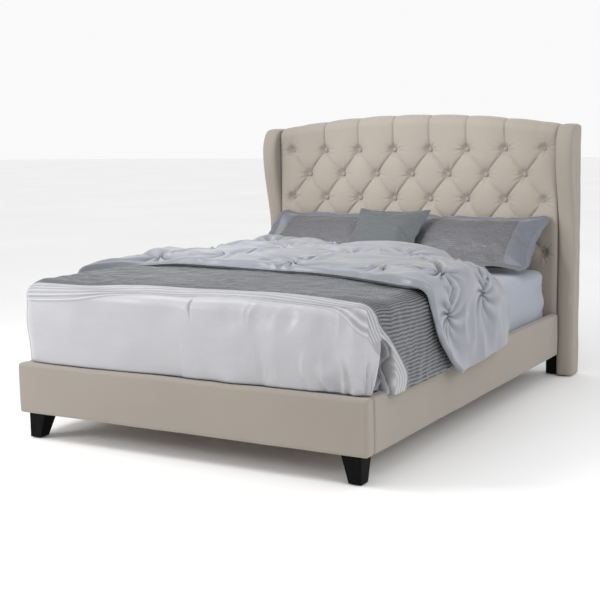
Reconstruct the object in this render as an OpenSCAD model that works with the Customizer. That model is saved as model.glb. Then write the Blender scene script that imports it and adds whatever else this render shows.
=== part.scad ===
// Upholstered wingback bed with a buttoned headboard, made up with its mattress and bedding.
// Millimetres. +X is the right-hand side seen from the foot, +Y runs from foot to head, +Z is up.
// The origin is on the floor at the middle of the bed's length and width.

/* [Mattress] */
// Width of the mattress
mattress_w = 1524; // [1200:1:2000]
// Length of the mattress
mattress_l = 2032; // [1650:1:2450]
// Thickness of the mattress
mattress_h = 300; // [150:1:380]
// Corner radius of the mattress seen from above
mattress_corner_r = 60; // [20:1:100]

/* [Gaps round the mattress] */
// Gap between mattress and side rail
mattress_side_gap = 8; // [4:1:30]
// Gap between mattress and footboard
mattress_foot_gap = 12; // [5:1:40]
// Gap between mattress and headboard padding
mattress_head_gap = 30; // [15:1:60]

/* [Heights] */
// Underside of the rails and footboard above the floor
frame_clearance = 108; // [60:1:250]
// Height of the rails and footboard
rail_h = 211; // [175:1:320]
// Top of the slats above the floor
slat_top_z = 250; // [220:1:300]
// Top of the headboard's arch above the floor
headboard_top_z = 1325; // [1100:1:1700]
// Drop of the arch from its middle to the wings
arch_drop = 62; // [20:1:150]

/* [Rails and footboard] */
// Thickness of a side rail over its cover
rail_t = 45; // [35:1:80]
// Thickness of a rail's board
rail_board_t = 25; // [18:1:35]
// Thickness of the footboard over its cover
footboard_t = 60; // [50:1:100]
// Thickness of the footboard's board
footboard_board_t = 36; // [25:1:45]
// Linen and wadding on rails and footboard, where nothing else is under it
cover_t = 3; // [2:0.5:5]
// Radius of the footboard's upright corners
footboard_corner_r = 14; // [5:1:25]

/* [Headboard] */
// Thickness of the cover and wadding on the headboard
headboard_cover_t = 6; // [3:0.5:10]
// Thickness of the headboard's foam
headboard_foam_t = 50; // [30:1:80]
// Thickness of the headboard's plywood
headboard_board_t = 12; // [6:1:20]
// Thickness of the headboard's frame timbers
frame_timber_t = 40; // [25:1:60]
// Width of the headboard's frame timbers
frame_timber_w = 60; // [40:1:90]
// Thickness of the lining on the headboard's back
back_cloth_t = 3; // [1:0.5:5]
// Foam over the edge of the headboard's plywood
edge_foam_t = 20; // [10:1:40]

/* [Buttoning] */
// Buttons in a long row
buttons_in_row = 8; // [4:1:12]
// Rows of buttons
button_rows = 5; // [2:1:6]
// Distance from the panel's side to the outer buttons of a long row
button_margin = 73.5; // [50:0.5:120]
// Height between one row and the next
button_row_pitch = 129; // [80:1:180]
// Drop from the top of the arch to the top row
button_drop = 184; // [120:1:260]
// Radius of a button
button_r = 13; // [8:0.5:18]
// Thickness of a button
button_t = 9; // [6:0.5:12]
// Foam left between a button and the plywood
button_bed_t = 14; // [8:1:25]

/* [Wings] */
// Width of a wing, side to side
wing_w = 84; // [60:1:130]
// Seam between a wing and the headboard's panel
wing_seam = 2; // [1:0.5:5]
// How far the wing's front stands forward of the panel at its widest
wing_reach = 60; // [30:1:160]
// How far the wing's waist stands forward of the panel; below 0 it is behind
wing_waist = -8; // [-12:1:60]
// How far the wing's foot stands forward of the panel
wing_foot_reach = 5; // [4:1:80]
// Gap between the wing and the floor
wing_clearance = 8; // [4:1:40]
// Height of the wing's rounded crown, from its widest point to its top
wing_crown_h = 143; // [80:1:220]
// Height of the wing's waist
wing_waist_z = 700; // [450:1:850]
// Thickness of a wing's timber core
wing_core_t = 40; // [25:1:60]
// Foam in front of and above a wing's core
wing_foam_t = 22; // [10:1:35]

/* [Legs] */
// Width of a front leg at its top
leg_top_w = 82; // [60:1:100]
// Width of a front leg at the floor
leg_foot_w = 52; // [35:1:80]
// Distance of a front leg from the side of the bed
leg_side_inset = 37; // [10:1:80]
// Distance of a front leg from the face of the footboard
leg_front_inset = 22; // [5:1:40]
// Width of a headboard leg
head_leg_w = 56; // [40:1:70]
// Depth of a headboard leg, front to back
head_leg_d = 80; // [50:1:100]
// Radius of the glides under the legs
glide_r = 11; // [8:1:16]
// Thickness of the glides under the legs
glide_t = 4; // [2:1:6]

/* [Slats and beam] */
// Number of slats
slat_count = 12; // [8:1:12]
// Width of a slat
slat_w = 80; // [50:1:110]
// Thickness of a slat
slat_t = 18; // [12:1:25]
// Side of the ledge that carries the slats
ledge_side = 30; // [20:1:40]
// Width of the centre beam
beam_w = 45; // [35:1:70]
// Height of the centre beam
beam_h = 60; // [40:1:80]
// Number of legs under the centre beam
centre_leg_count = 3; // [1:1:4]
// Height of a levelling foot's pad
levelling_pad_t = 8; // [5:1:12]
// Radius of a levelling foot's pad
levelling_pad_r = 18; // [12:1:22]
// Radius of a levelling foot's stem
levelling_stem_r = 5; // [4:0.5:6]

/* [Fasteners] */
// Radius of the frame bolts
bolt_r = 4; // [3:0.5:5]
// Radius of a bolt's head
bolt_head_r = 8; // [6:0.5:10]
// Height of a bolt's head
bolt_head_h = 4; // [3:0.5:5]
// Thickness of the steel brackets
bracket_t = 4; // [3:0.5:6]
// Length of a corner bracket's arms
bracket_arm = 80; // [50:1:110]

/* [Bedding] */
// Thickness of the comforter on the mattress
comforter_t = 105; // [50:1:120]
// Width of comforter that lies hidden under the quilt's right-hand end
comforter_lap = 330; // [100:1:400]
// Thickness of the quilt lying on the comforter
quilt_t = 62; // [30:1:90]
// Distance of the quilt's foot edge from the mattress's foot, at its middle
quilt_foot_y = 620; // [400:1:800]
// Thickness of the bedding where it hangs at the right-hand side
drape_t = 20; // [10:1:28]
// Lowest point of the hanging comforter above the floor
comforter_low_z = 305; // [180:1:310]
// Lowest point of the hanging quilt above the floor
quilt_low_z = 270; // [160:1:310]
// Distance a sham reaches past the mattress's side
sham_overhang = 18; // [0:1:25]
// Gap between the two shams
sham_gap = 40; // [10:1:80]
// Width of a sham with its flanges
sham_w = 430; // [380:1:520]
// Thickness of a filled sham
sham_t = 125; // [80:1:150]
// Side of the square cushion
cushion_w = 400; // [300:1:460]
// Thickness of the square cushion
cushion_t = 110; // [60:1:150]

/* [Hidden] */
slack = 0.5;          // free gap between soft pieces that lift off one another
soft_gap = 4;         // gap between the bedding and the frame
bolt_clear = 0.5;     // radial gap round a bolt
side_clear = 3;       // gap at the ends of the slats
end_clear = 2;        // gap at the ends of rails and beam
well_clear = 2;       // radial gap between a button and its well
pocket_t = 1.5;       // cloth of a button's pocket
tie_r = 1.2;          // twine that holds a button
tie_clear = 0.3;      // radial gap round the twine
fine = 64;            // facets of a turned shape
cut = 1;              // how far a cutter runs past a face

// Lengths along the bed, counted from the outer face of the footboard
headboard_depth = headboard_cover_t + headboard_foam_t + headboard_board_t + frame_timber_t
    + back_cloth_t;
mattress_foot = footboard_t + mattress_foot_gap;
mattress_head = mattress_foot + mattress_l;
panel_front = mattress_head + mattress_head_gap;
bed_l = panel_front + headboard_depth;
foam_front = panel_front + headboard_cover_t;
board_front = foam_front + headboard_foam_t;
timber_front = board_front + headboard_board_t;
timber_back = timber_front + frame_timber_t;

// Half widths
mattress_hw = mattress_w / 2;
rail_in = mattress_hw + mattress_side_gap;
bed_hw = rail_in + rail_t;
board_in = rail_in + cover_t;
wing_in = bed_hw - 15;
wing_out = wing_in + wing_w;
panel_hw = wing_in - wing_seam;
foam_hw = panel_hw - cover_t;
plywood_hw = foam_hw - edge_foam_t / 2;
post_in = plywood_hw - frame_timber_w;

// Heights
rail_top = frame_clearance + rail_h;
slat_bottom = slat_top_z - slat_t;
ledge_bottom = slat_bottom - ledge_side;
mattress_top = slat_top_z + mattress_h;
beam_bottom = slat_bottom - beam_h;
bracket_top = ledge_bottom - end_clear;
bracket_bottom = frame_clearance + 32;
bracket_h = bracket_top - bracket_bottom;
arch_r = (wing_in * wing_in + arch_drop * arch_drop) / (2 * arch_drop);
arch_mid_z = headboard_top_z - arch_r;
wing_top_z = headboard_top_z - arch_drop;
wing_widest_z = wing_top_z - wing_crown_h;
rail_end = panel_front - wing_foot_reach - end_clear;
button_spacing = 2 * (panel_hw - button_margin) / (buttons_in_row - 1);
button_top_z = headboard_top_z - button_drop;
well_depth = headboard_cover_t + headboard_foam_t - button_bed_t;

// Bedding
comforter_top = mattress_top + comforter_t;
quilt_top = comforter_top + quilt_t;
drape_in = bed_hw + soft_gap;
side_hang = drape_in + drape_t;
hang_bottom = rail_top + soft_gap;

function numbered(prefix, i) = str(prefix, i < 10 ? "0" : "", i);

SIDES = [["left", -1], ["right", 1]];

// Moves a shape drawn with y counted from the footboard's outer face into the bed's own frame
module from_foot() {
    translate([0, -bed_l / 2, 0]) children();
}

module box(x0, x1, y0, y1, z0, z1) {
    translate([x0, y0, z0]) cube([x1 - x0, y1 - y0, z1 - z0]);
}

// Mirrors a shape drawn on the right-hand side to the side asked for
module on_side(side) {
    if (side < 0) mirror([1, 0, 0]) children();
    else children();
}

// Upright board whose top is the headboard's arch, lowered by inset
module arched_board(half_w, y0, y1, z0, inset) {
    intersection() {
        box(-half_w, half_w, y0, y1, z0, headboard_top_z);
        translate([0, y1 + cut, arch_mid_z]) rotate([90, 0, 0])
            cylinder(r = arch_r - inset, h = y1 - y0 + 2 * cut, $fn = 720);
    }
}

// Rectangle with round corners, as squares and circles
module round_rect(w, l, r) {
    square([w - 2 * r, l], center = true);
    square([w, l - 2 * r], center = true);
    for (sx = [-1, 1], sy = [-1, 1])
        translate([sx * (w / 2 - r), sy * (l / 2 - r)]) circle(r = r, $fn = fine);
}

// ---- Bolts: each entry is a point under the head, the way the shank points, and its length

rail_bolt_y = [footboard_t + bracket_t + 25, footboard_t + bracket_arm - 15];
rail_head_bolt_y = [rail_end - bracket_arm + 15, rail_end - 25];
end_bolt_x = [rail_in - bracket_arm + 15, rail_in - 30];
bracket_mid_z = (bracket_bottom + bracket_top) / 2;
wing_bolt_z = [300, (300 + wing_top_z - 150) / 2, wing_top_z - 150];
wing_bolt_y = (timber_front + timber_back) / 2;
wing_core_in = wing_in + (wing_w - wing_core_t) / 2;
leg_bolt_x = bed_hw - leg_side_inset - leg_top_w / 2;
board_mid_y = footboard_t / 2;
leg_bolt_in_leg = 50;
leg_bolt_in_board = 60;
footboard_bolt_l = footboard_t - 15;
post_bolt_l = timber_back - panel_front - 10;
rail_bolt_l = rail_board_t - 3;

// Bolts of the right-hand side
module side_bolt_set(extra, headless) {
    for (y = concat(rail_bolt_y, rail_head_bolt_y))
        bolt([board_in - bracket_t, y, bracket_mid_z], [0, 90, 0], bracket_t + rail_bolt_l,
             extra, headless);
    for (x = end_bolt_x) {
        bolt([x, footboard_t + bracket_t, bracket_mid_z], [90, 0, 0],
             bracket_t + footboard_bolt_l, extra, headless);
        bolt([x, panel_front - bracket_t, bracket_mid_z], [-90, 0, 0],
             bracket_t + post_bolt_l, extra, headless);
    }
    for (z = wing_bolt_z)
        bolt([post_in, wing_bolt_y, z], [0, 90, 0],
             wing_core_in - post_in + wing_core_t - 10, extra, headless);
    bolt([leg_bolt_x, board_mid_y, frame_clearance - leg_bolt_in_leg], [0, 0, 0],
         leg_bolt_in_leg + leg_bolt_in_board, extra, true);
}

// One bolt, or with extra its clearance hole; a headless one is a dowel screw
module bolt(at, turn, length, extra, headless) {
    translate(at) rotate(turn) {
        cylinder(r = bolt_r + extra, h = length + extra, $fn = fine);
        if (!headless)
            translate([0, 0, -bolt_head_h]) cylinder(r = bolt_head_r, h = bolt_head_h, $fn = fine);
    }
}

module bolt_bores(side) {
    on_side(side) side_bolt_set(bolt_clear, true);
}

// ---- Headboard: frame

module headboard_post(side) {
    color("burlywood") from_foot() difference() {
        intersection() {
            on_side(side)
                box(post_in, plywood_hw, timber_front, timber_back,
                    frame_clearance + cover_t, headboard_top_z);
            arched_board(plywood_hw, timber_front, timber_back, frame_clearance,
                         headboard_cover_t + edge_foam_t);
        }
        bolt_bores(side);
    }
}

module headboard_rail(z0, z1) {
    intersection() {
        box(-post_in, post_in, timber_front, timber_back, z0, z1);
        arched_board(plywood_hw, timber_front, timber_back, frame_clearance,
                     headboard_cover_t + edge_foam_t);
    }
}

top_rail_bottom = wing_top_z - headboard_cover_t - edge_foam_t - frame_timber_w - 5;
middle_rail_bottom = mattress_top + 60;
bottom_rail_top = slat_top_z;

module headboard_top_rail() {
    color("burlywood") from_foot() headboard_rail(top_rail_bottom, headboard_top_z);
}

module headboard_middle_rail() {
    color("burlywood") from_foot()
        headboard_rail(middle_rail_bottom, middle_rail_bottom + frame_timber_w);
}

module headboard_bottom_rail() {
    color("burlywood") from_foot() difference() {
        headboard_rail(frame_clearance + cover_t, bottom_rail_top);
        for (s = SIDES) bolt_bores(s[1]);
    }
}

module headboard_centre_stile() {
    color("burlywood") from_foot()
        box(-frame_timber_w / 2, frame_timber_w / 2, timber_front, timber_back,
            middle_rail_bottom + frame_timber_w, top_rail_bottom);
}

// ---- Headboard: padding

// Calls its children at each button, drawn with +Z into the headboard from the padding's face
module at_buttons() {
    for (row = [0:button_rows - 1]) {
        count = buttons_in_row - row % 2;
        for (i = [0:count - 1])
            translate([(i - (count - 1) / 2) * button_spacing, panel_front,
                       button_top_z - row * button_row_pitch])
                rotate([-90, 0, 0]) children();
    }
}

well_r = button_r + well_clear;
pocket_r = well_r + pocket_t;

module headboard_board() {
    color("tan") from_foot() difference() {
        arched_board(plywood_hw, board_front, timber_front, frame_clearance + cover_t,
                     headboard_cover_t + edge_foam_t);
        at_buttons() cylinder(r = tie_r + tie_clear, h = headboard_depth, $fn = 24);
        for (s = SIDES) bolt_bores(s[1]);
    }
}

module headboard_foam() {
    color("khaki") from_foot() difference() {
        arched_board(foam_hw, foam_front, timber_back, frame_clearance + cover_t,
                     headboard_cover_t);
        arched_board(plywood_hw, board_front, timber_back + cut, frame_clearance,
                     headboard_cover_t + edge_foam_t);
        at_buttons() {
            cylinder(r = pocket_r, h = well_depth + pocket_t, $fn = fine);
            cylinder(r = tie_r + tie_clear, h = headboard_depth, $fn = 24);
        }
        for (s = SIDES) bolt_bores(s[1]);
    }
}

module headboard_cover() {
    color("wheat") from_foot() difference() {
        union() {
            difference() {
                arched_board(panel_hw, panel_front, timber_back, frame_clearance, 0);
                arched_board(foam_hw, foam_front, timber_back + cut, frame_clearance + cover_t,
                             headboard_cover_t);
            }
            at_buttons() cylinder(r = pocket_r, h = well_depth + pocket_t, $fn = fine);
        }
        at_buttons() {
            translate([0, 0, -cut]) cylinder(r = well_r, h = well_depth + cut, $fn = fine);
            cylinder(r = tie_r + tie_clear, h = headboard_depth, $fn = 24);
        }
        for (s = SIDES) bolt_bores(s[1]);
    }
}

// The black lining stops a little below the arch, where the linen turns over the edge
lining_inset = 12;

module headboard_back_cloth() {
    color("dimgray") from_foot()
        arched_board(panel_hw, timber_back, timber_back + back_cloth_t, frame_clearance,
            lining_inset);
}

// Each button is a domed disc sitting in its well
module tufting_buttons() {
    color("wheat") from_foot() at_buttons() translate([0, 0, well_depth]) mirror([0, 0, 1])
        intersection() {
            cylinder(r = button_r, h = button_t, $fn = fine);
            translate([0, 0, button_t - 2 * button_r]) sphere(r = 2 * button_r, $fn = fine);
        }
}

// Twine from each button through foam and plywood to a tack on the back
module button_ties() {
    color("ivory") from_foot() at_buttons()
        translate([0, 0, well_depth])
            cylinder(r = tie_r, h = timber_front - panel_front - well_depth, $fn = 24);
}

// ---- Wings

// Reach of the wing's front edge before the panel at height z: foot, waist and widest point
function ease(t) = (1 - cos(180 * min(max(t, 0), 1))) / 2;
function wing_front_reach(z) = z < wing_waist_z
    ? wing_foot_reach + (wing_waist - wing_foot_reach) * ease(z / wing_waist_z)
    : wing_waist + (wing_reach - wing_waist)
        * ease((z - wing_waist_z) / (wing_widest_z - wing_waist_z));

// Outline of the wing seen from its side, as [y, z], drawn in by inset on the front and top
crown_steps = 8;
edge_steps = 14;
crown_depth = wing_reach + 30;
wing_back = timber_back + back_cloth_t;
function wing_outline(inset) = concat(
    [for (i = [0:edge_steps])
        let (z = wing_widest_z * i / edge_steps)
            [panel_front - wing_front_reach(z) + inset, z]],
    [for (i = [1:crown_steps])
        let (a = 90 * i / crown_steps)
            [panel_front - wing_reach + crown_depth - (crown_depth - inset) * cos(a),
             wing_widest_z + (wing_top_z - inset - wing_widest_z) * sin(a)]],
    [[wing_back, wing_top_z - inset], [wing_back, 0]]);

// Slab of the wing's outline between two distances from the bed's middle, up from base
module wing_slab(x0, x1, inset, base, back) {
    intersection() {
        translate([x0, 0, 0]) rotate([90, 0, 90]) linear_extrude(height = x1 - x0)
            polygon(wing_outline(inset));
        box(x0 - cut, x1 + cut, 0, back, base, headboard_top_z);
    }
}

module wing_core(side) {
    color("burlywood") from_foot() difference() {
        on_side(side) wing_slab(wing_core_in, wing_core_in + wing_core_t,
                                cover_t + wing_foam_t, wing_clearance, timber_back);
        bolt_bores(side);
    }
}

module wing_foam(side) {
    color("khaki") from_foot() difference() {
        on_side(side) wing_slab(wing_in + cover_t, wing_out - cover_t, cover_t,
                                wing_clearance + cover_t, timber_back);
        on_side(side) wing_slab(wing_core_in, wing_core_in + wing_core_t,
                                cover_t + wing_foam_t, 0, wing_back);
        bolt_bores(side);
    }
}

// The cover is open underneath, where it is stapled to the core
module wing_cover(side) {
    color("wheat") from_foot() difference() {
        on_side(side) wing_slab(wing_in, wing_out, 0, wing_clearance, wing_back);
        on_side(side) wing_slab(wing_in + cover_t, wing_out - cover_t, cover_t, 0, timber_back);
        bolt_bores(side);
    }
}

head_leg_in = panel_hw - head_leg_w;
head_leg_front = timber_back - head_leg_d;
module headboard_leg(side) {
    color("#1d1a18") from_foot() on_side(side)
        box(head_leg_in, panel_hw, head_leg_front, timber_back, glide_t, frame_clearance);
}

// ---- Footboard and side rails

footboard_board_y = (footboard_t - footboard_board_t) / 2;
footboard_board_hw = bed_hw - 12;

module footboard_board() {
    color("burlywood") from_foot() difference() {
        box(-footboard_board_hw, footboard_board_hw, footboard_board_y,
            footboard_board_y + footboard_board_t, frame_clearance + cover_t,
            rail_top - cover_t);
        for (s = SIDES) bolt_bores(s[1]);
    }
}

module footboard_cover() {
    color("wheat") from_foot() difference() {
        translate([0, footboard_t / 2, frame_clearance]) linear_extrude(height = rail_h)
            round_rect(2 * bed_hw, footboard_t, footboard_corner_r);
        box(-footboard_board_hw, footboard_board_hw, footboard_board_y,
            footboard_board_y + footboard_board_t, frame_clearance + cover_t,
            rail_top - cover_t);
        for (s = SIDES) bolt_bores(s[1]);
    }
}

module rail_board_shape() {
    box(board_in, board_in + rail_board_t, footboard_t + cover_t, rail_end - cover_t,
        frame_clearance + cover_t, rail_top - cover_t);
}

module rail_board(side) {
    color("burlywood") from_foot() difference() {
        on_side(side) rail_board_shape();
        bolt_bores(side);
    }
}

// The cover wraps the board and turns back on its inner face, where the board stays bare
module rail_cover(side) {
    lip = 28;
    color("wheat") from_foot() on_side(side) difference() {
        box(rail_in, bed_hw, footboard_t, rail_end, frame_clearance, rail_top);
        rail_board_shape();
        box(rail_in - cut, board_in + cut, footboard_t - cut, rail_end + cut,
            frame_clearance + lip, rail_top - lip);
        side_bolt_set(bolt_clear, true);
    }
}

module slat_ledge(side) {
    color("tan") from_foot() on_side(side)
        box(board_in - ledge_side, board_in, footboard_t + bracket_arm + 10,
            rail_end - bracket_arm - 10, ledge_bottom, slat_bottom);
}

// ---- Front legs: straight on the outer side, tapered on the inner and rear sides

module front_leg(side) {
    leg_out = bed_hw - leg_side_inset;
    color("#1d1a18") from_foot() difference() {
        on_side(side) intersection() {
            translate([0, leg_front_inset + leg_top_w, 0]) rotate([90, 0, 0])
                linear_extrude(height = leg_top_w)
                    polygon([[leg_out - leg_foot_w, glide_t], [leg_out, glide_t],
                             [leg_out, frame_clearance], [leg_out - leg_top_w, frame_clearance]]);
            translate([leg_out - leg_top_w, 0, 0]) rotate([90, 0, 90])
                linear_extrude(height = leg_top_w)
                    polygon([[leg_front_inset, glide_t], [leg_front_inset + leg_foot_w, glide_t],
                             [leg_front_inset + leg_top_w, frame_clearance],
                             [leg_front_inset, frame_clearance]]);
        }
        bolt_bores(side);
    }
}

// ---- Steel brackets, bolts and glides

module corner_brackets() {
    color("#3a3d42") from_foot() for (s = SIDES) on_side(s[1]) difference() {
        union() {
            for (y = [footboard_t, rail_end - bracket_arm])
                box(board_in - bracket_t, board_in, y, y + bracket_arm,
                    bracket_bottom, bracket_top);
            box(board_in - bracket_t, board_in, rail_end - bracket_arm, panel_front,
                bracket_bottom, bracket_top);
            box(rail_in - bracket_arm, board_in, footboard_t, footboard_t + bracket_t,
                bracket_bottom, bracket_top);
            box(rail_in - bracket_arm, board_in, panel_front - bracket_t, panel_front,
                bracket_bottom, bracket_top);
        }
        side_bolt_set(bolt_clear, true);
    }
}

module frame_bolts() {
    color("#8d9096") from_foot() for (s = SIDES) on_side(s[1]) side_bolt_set(0, false);
}

// ---- Slats and centre support

beam_start = footboard_t + bracket_t + end_clear;
beam_end = panel_front - bracket_t - end_clear;
leg_step = (beam_end - beam_start) / (centre_leg_count + 1);

module centre_beam() {
    color("burlywood") from_foot()
        box(-beam_w / 2, beam_w / 2, beam_start, beam_end, beam_bottom, slat_bottom);
}

// U-shaped steel hangers, open at the top, that carry the ends of the beam
module beam_hangers() {
    reach = 45;
    inner = beam_w / 2 + end_clear;
    outer = inner + bracket_t;
    color("#3a3d42") from_foot()
        for (at = [[footboard_t, footboard_t + reach, 1], [panel_front - reach, panel_front, -1]])
            difference() {
                box(-outer, outer, at[0], at[1], beam_bottom - bracket_t,
                    beam_bottom + beam_h / 2);
                translate([0, at[2] * bracket_t, 0])
                    box(-inner, inner, at[0] - (at[2] < 0 ? cut + bracket_t : 0),
                        at[1] + (at[2] > 0 ? cut + bracket_t : 0), beam_bottom, slat_bottom);
            }
}

module centre_leg(i) {
    y = beam_start + i * leg_step;
    color("burlywood") from_foot() difference() {
        box(-beam_w / 2, beam_w / 2, y - beam_w / 2, y + beam_w / 2, levelling_pad_t + 6,
            beam_bottom);
        translate([0, y, 0])
            cylinder(r = levelling_stem_r + bolt_clear / 5, h = levelling_stem_l + 1, $fn = fine);
    }
}

levelling_stem_l = 45;
module levelling_feet() {
    color("#2b2b2b") from_foot() {
        for (i = [1:centre_leg_count])
            translate([0, beam_start + i * leg_step, 0]) {
                cylinder(r = levelling_pad_r, h = levelling_pad_t, $fn = fine);
                cylinder(r = levelling_stem_r, h = levelling_stem_l, $fn = fine);
            }
    }
}

// Nail-on glides under the four legs and, thicker, under the wings
module glides() {
    leg_mid = leg_foot_w / 2;
    wing_x = wing_core_in + wing_core_t / 2;
    color("#2b2b2b") from_foot() for (s = SIDES) on_side(s[1]) {
        for (at = [[bed_hw - leg_side_inset - leg_mid, leg_front_inset + leg_mid],
                   [head_leg_in + head_leg_w / 2, head_leg_front + head_leg_d / 2]])
            translate([at[0], at[1], 0]) cylinder(r = glide_r, h = glide_t, $fn = fine);
        for (y = [wing_back - 30, panel_front + wing_foam_t + 15])
            translate([wing_x, y, 0]) cylinder(r = glide_r, h = wing_clearance, $fn = fine);
    }
}

slat_first = footboard_t + bracket_arm + 20;
slat_last = rail_end - bracket_arm - 20 - slat_w;
slat_pitch = (slat_last - slat_first) / (slat_count - 1);

module slat(i) {
    y = slat_first + (i - 1) * slat_pitch;
    color("wheat") from_foot()
        box(side_clear - board_in, board_in - side_clear, y, y + slat_w, slat_bottom, slat_top_z);
}

module slat_straps() {
    strap_w = 30;
    strap_t = 1.5;
    strap_x = mattress_hw / 2;
    color("dimgray") from_foot()
        for (x = [-strap_x, strap_x])
            box(x - strap_w / 2, x + strap_w / 2, slat_first, slat_last + slat_w,
                slat_bottom - strap_t, slat_bottom);
}

// ---- Mattress and bedding, as plain solids

module mattress() {
    color("#aeb9c4") from_foot()
        translate([0, mattress_foot + mattress_l / 2, slat_top_z])
            linear_extrude(height = mattress_h)
                round_rect(mattress_w, mattress_l, mattress_corner_r);
}

// Leaning pillows: lean from level, and where their lower and upper edges come
sham_l = mattress_hw + sham_overhang - sham_gap / 2;
sham_lean = 34;
sham_rest_z = mattress_top + 24;
sham_back_y = panel_front - 20;
sham_front_y = sham_back_y - sham_w * cos(sham_lean);
cushion_lean = 42;
cushion_rest_z = mattress_top + 24;
cushion_back_y = sham_back_y - 160;
cushion_front_y = cushion_back_y - cushion_w * cos(cushion_lean);

// The quilt's plan: its foot edge runs slightly slantwise, its left foot corner is drawn out
// along the bed's side, and its head edge clears the pillows
quilt_slant = 30;
quilt_corner_out = 330;
quilt_corner_w = 150;
pillow_gap = 25;
quilt_left = bed_hw - 3 * soft_gap;
quilt_out = side_hang + slack + drape_t;
quilt_foot = mattress_foot + quilt_foot_y;
quilt_left_end = sham_front_y - pillow_gap - 20;
quilt_mid_end = cushion_front_y - pillow_gap;
quilt_right_end = quilt_mid_end - 245;
comforter_end = quilt_right_end - comforter_lap;
foot_hang_y = footboard_t / 2 + 5;
drape_start = mattress_foot + 165;

// The comforter lies on the foot half, hangs in front of the mattress's foot end, down its
// left side, and over the rail on its right side
module comforter() {
    color("#b9bec8") from_foot() difference() {
        union() {
            box(-quilt_left, drape_in, foot_hang_y, comforter_end, hang_bottom, comforter_top);
            box(0, side_hang, drape_start, comforter_end, comforter_low_z, comforter_top);
        }
        box(-mattress_hw - slack, mattress_hw + slack, mattress_foot - slack,
            comforter_end + cut, 0, mattress_top + slack);
        box(0, drape_in, 0, comforter_end + cut, 0, hang_bottom);
    }
}

module quilt_plan() {
    polygon([[-quilt_left, quilt_foot - quilt_corner_out],
             [-quilt_left + quilt_corner_w, quilt_foot + quilt_slant],
             [0, quilt_foot],
             [quilt_out, quilt_foot - quilt_slant],
             [quilt_out, quilt_right_end],
             [mattress_hw / 2, quilt_mid_end],
             [-cushion_w / 2 - pillow_gap, quilt_mid_end],
             [-cushion_w, quilt_left_end],
             [-quilt_left, quilt_left_end]]);
}

module quilt() {
    color("#a9afbb") from_foot() difference() {
        translate([0, 0, quilt_low_z]) linear_extrude(height = quilt_top - quilt_low_z)
            quilt_plan();
        box(-bed_hw, mattress_hw + slack, 0, panel_front, 0, mattress_top + slack);
        box(-bed_hw, side_hang + slack, 0, comforter_end + slack, 0, comforter_top + slack);
        box(0, drape_in, 0, panel_front, 0, hang_bottom);
    }
}

// A filled pillow lying flat on its middle
module pillow(length, width, thick) {
    edge_r = 6;
    hull() {
        for (sx = [-1, 1], sy = [-1, 1])
            translate([sx * (length / 2 - edge_r), sy * (width / 2 - edge_r), 0])
                sphere(r = edge_r, $fn = 12);
        scale([length * 0.36, width * 0.36, thick / 2]) sphere(r = 1, $fn = 32);
    }
}

// A pillow leaning back, its upper edge at back_y and its lower edge at rest_z
module leaning_pillow(x, back_y, length, width, thick, lean, rest_z) {
    translate([x, back_y - width / 2 * cos(lean), rest_z + width / 2 * sin(lean)])
        rotate([lean, 0, 0]) pillow(length, width, thick);
}

module sham(side) {
    color("#8f959f") from_foot()
        leaning_pillow(side * (sham_l + sham_gap) / 2, sham_back_y, sham_l, sham_w, sham_t,
                       sham_lean, sham_rest_z);
}

module cushion() {
    color("#77807f") from_foot()
        leaning_pillow(0, cushion_back_y, cushion_w, cushion_w, cushion_t, cushion_lean,
                       cushion_rest_z);
}

headboard_post(-1);  // headboard_left_post
headboard_post(1);  // headboard_right_post
headboard_top_rail();
headboard_middle_rail();
headboard_bottom_rail();
headboard_centre_stile();
headboard_board();
headboard_foam();
headboard_cover();
headboard_back_cloth();
tufting_buttons();
button_ties();
wing_core(-1);  // left_wing_core
wing_core(1);  // right_wing_core
wing_foam(-1);  // left_wing_foam
wing_foam(1);  // right_wing_foam
wing_cover(-1);  // left_wing_cover
wing_cover(1);  // right_wing_cover
headboard_leg(-1);  // headboard_left_leg
headboard_leg(1);  // headboard_right_leg
footboard_board();
footboard_cover();
front_leg(-1);  // front_left_leg
front_leg(1);  // front_right_leg
rail_board(-1);  // left_rail_board
rail_board(1);  // right_rail_board
rail_cover(-1);  // left_rail_cover
rail_cover(1);  // right_rail_cover
slat_ledge(-1);  // left_slat_ledge
slat_ledge(1);  // right_slat_ledge
corner_brackets();
frame_bolts();
centre_beam();
beam_hangers();
for (i = [1:centre_leg_count])
    centre_leg(i);
levelling_feet();
glides();
for (i = [1:slat_count])
    slat(i);
slat_straps();
mattress();
comforter();
quilt();
sham(-1);  // left_sham
sham(1);  // right_sham
cushion();
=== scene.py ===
"""Upholstered wingback bed and its bedding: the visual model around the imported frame."""
import math

import bpy
import numpy as np
from mathutils import Matrix, Vector


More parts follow.
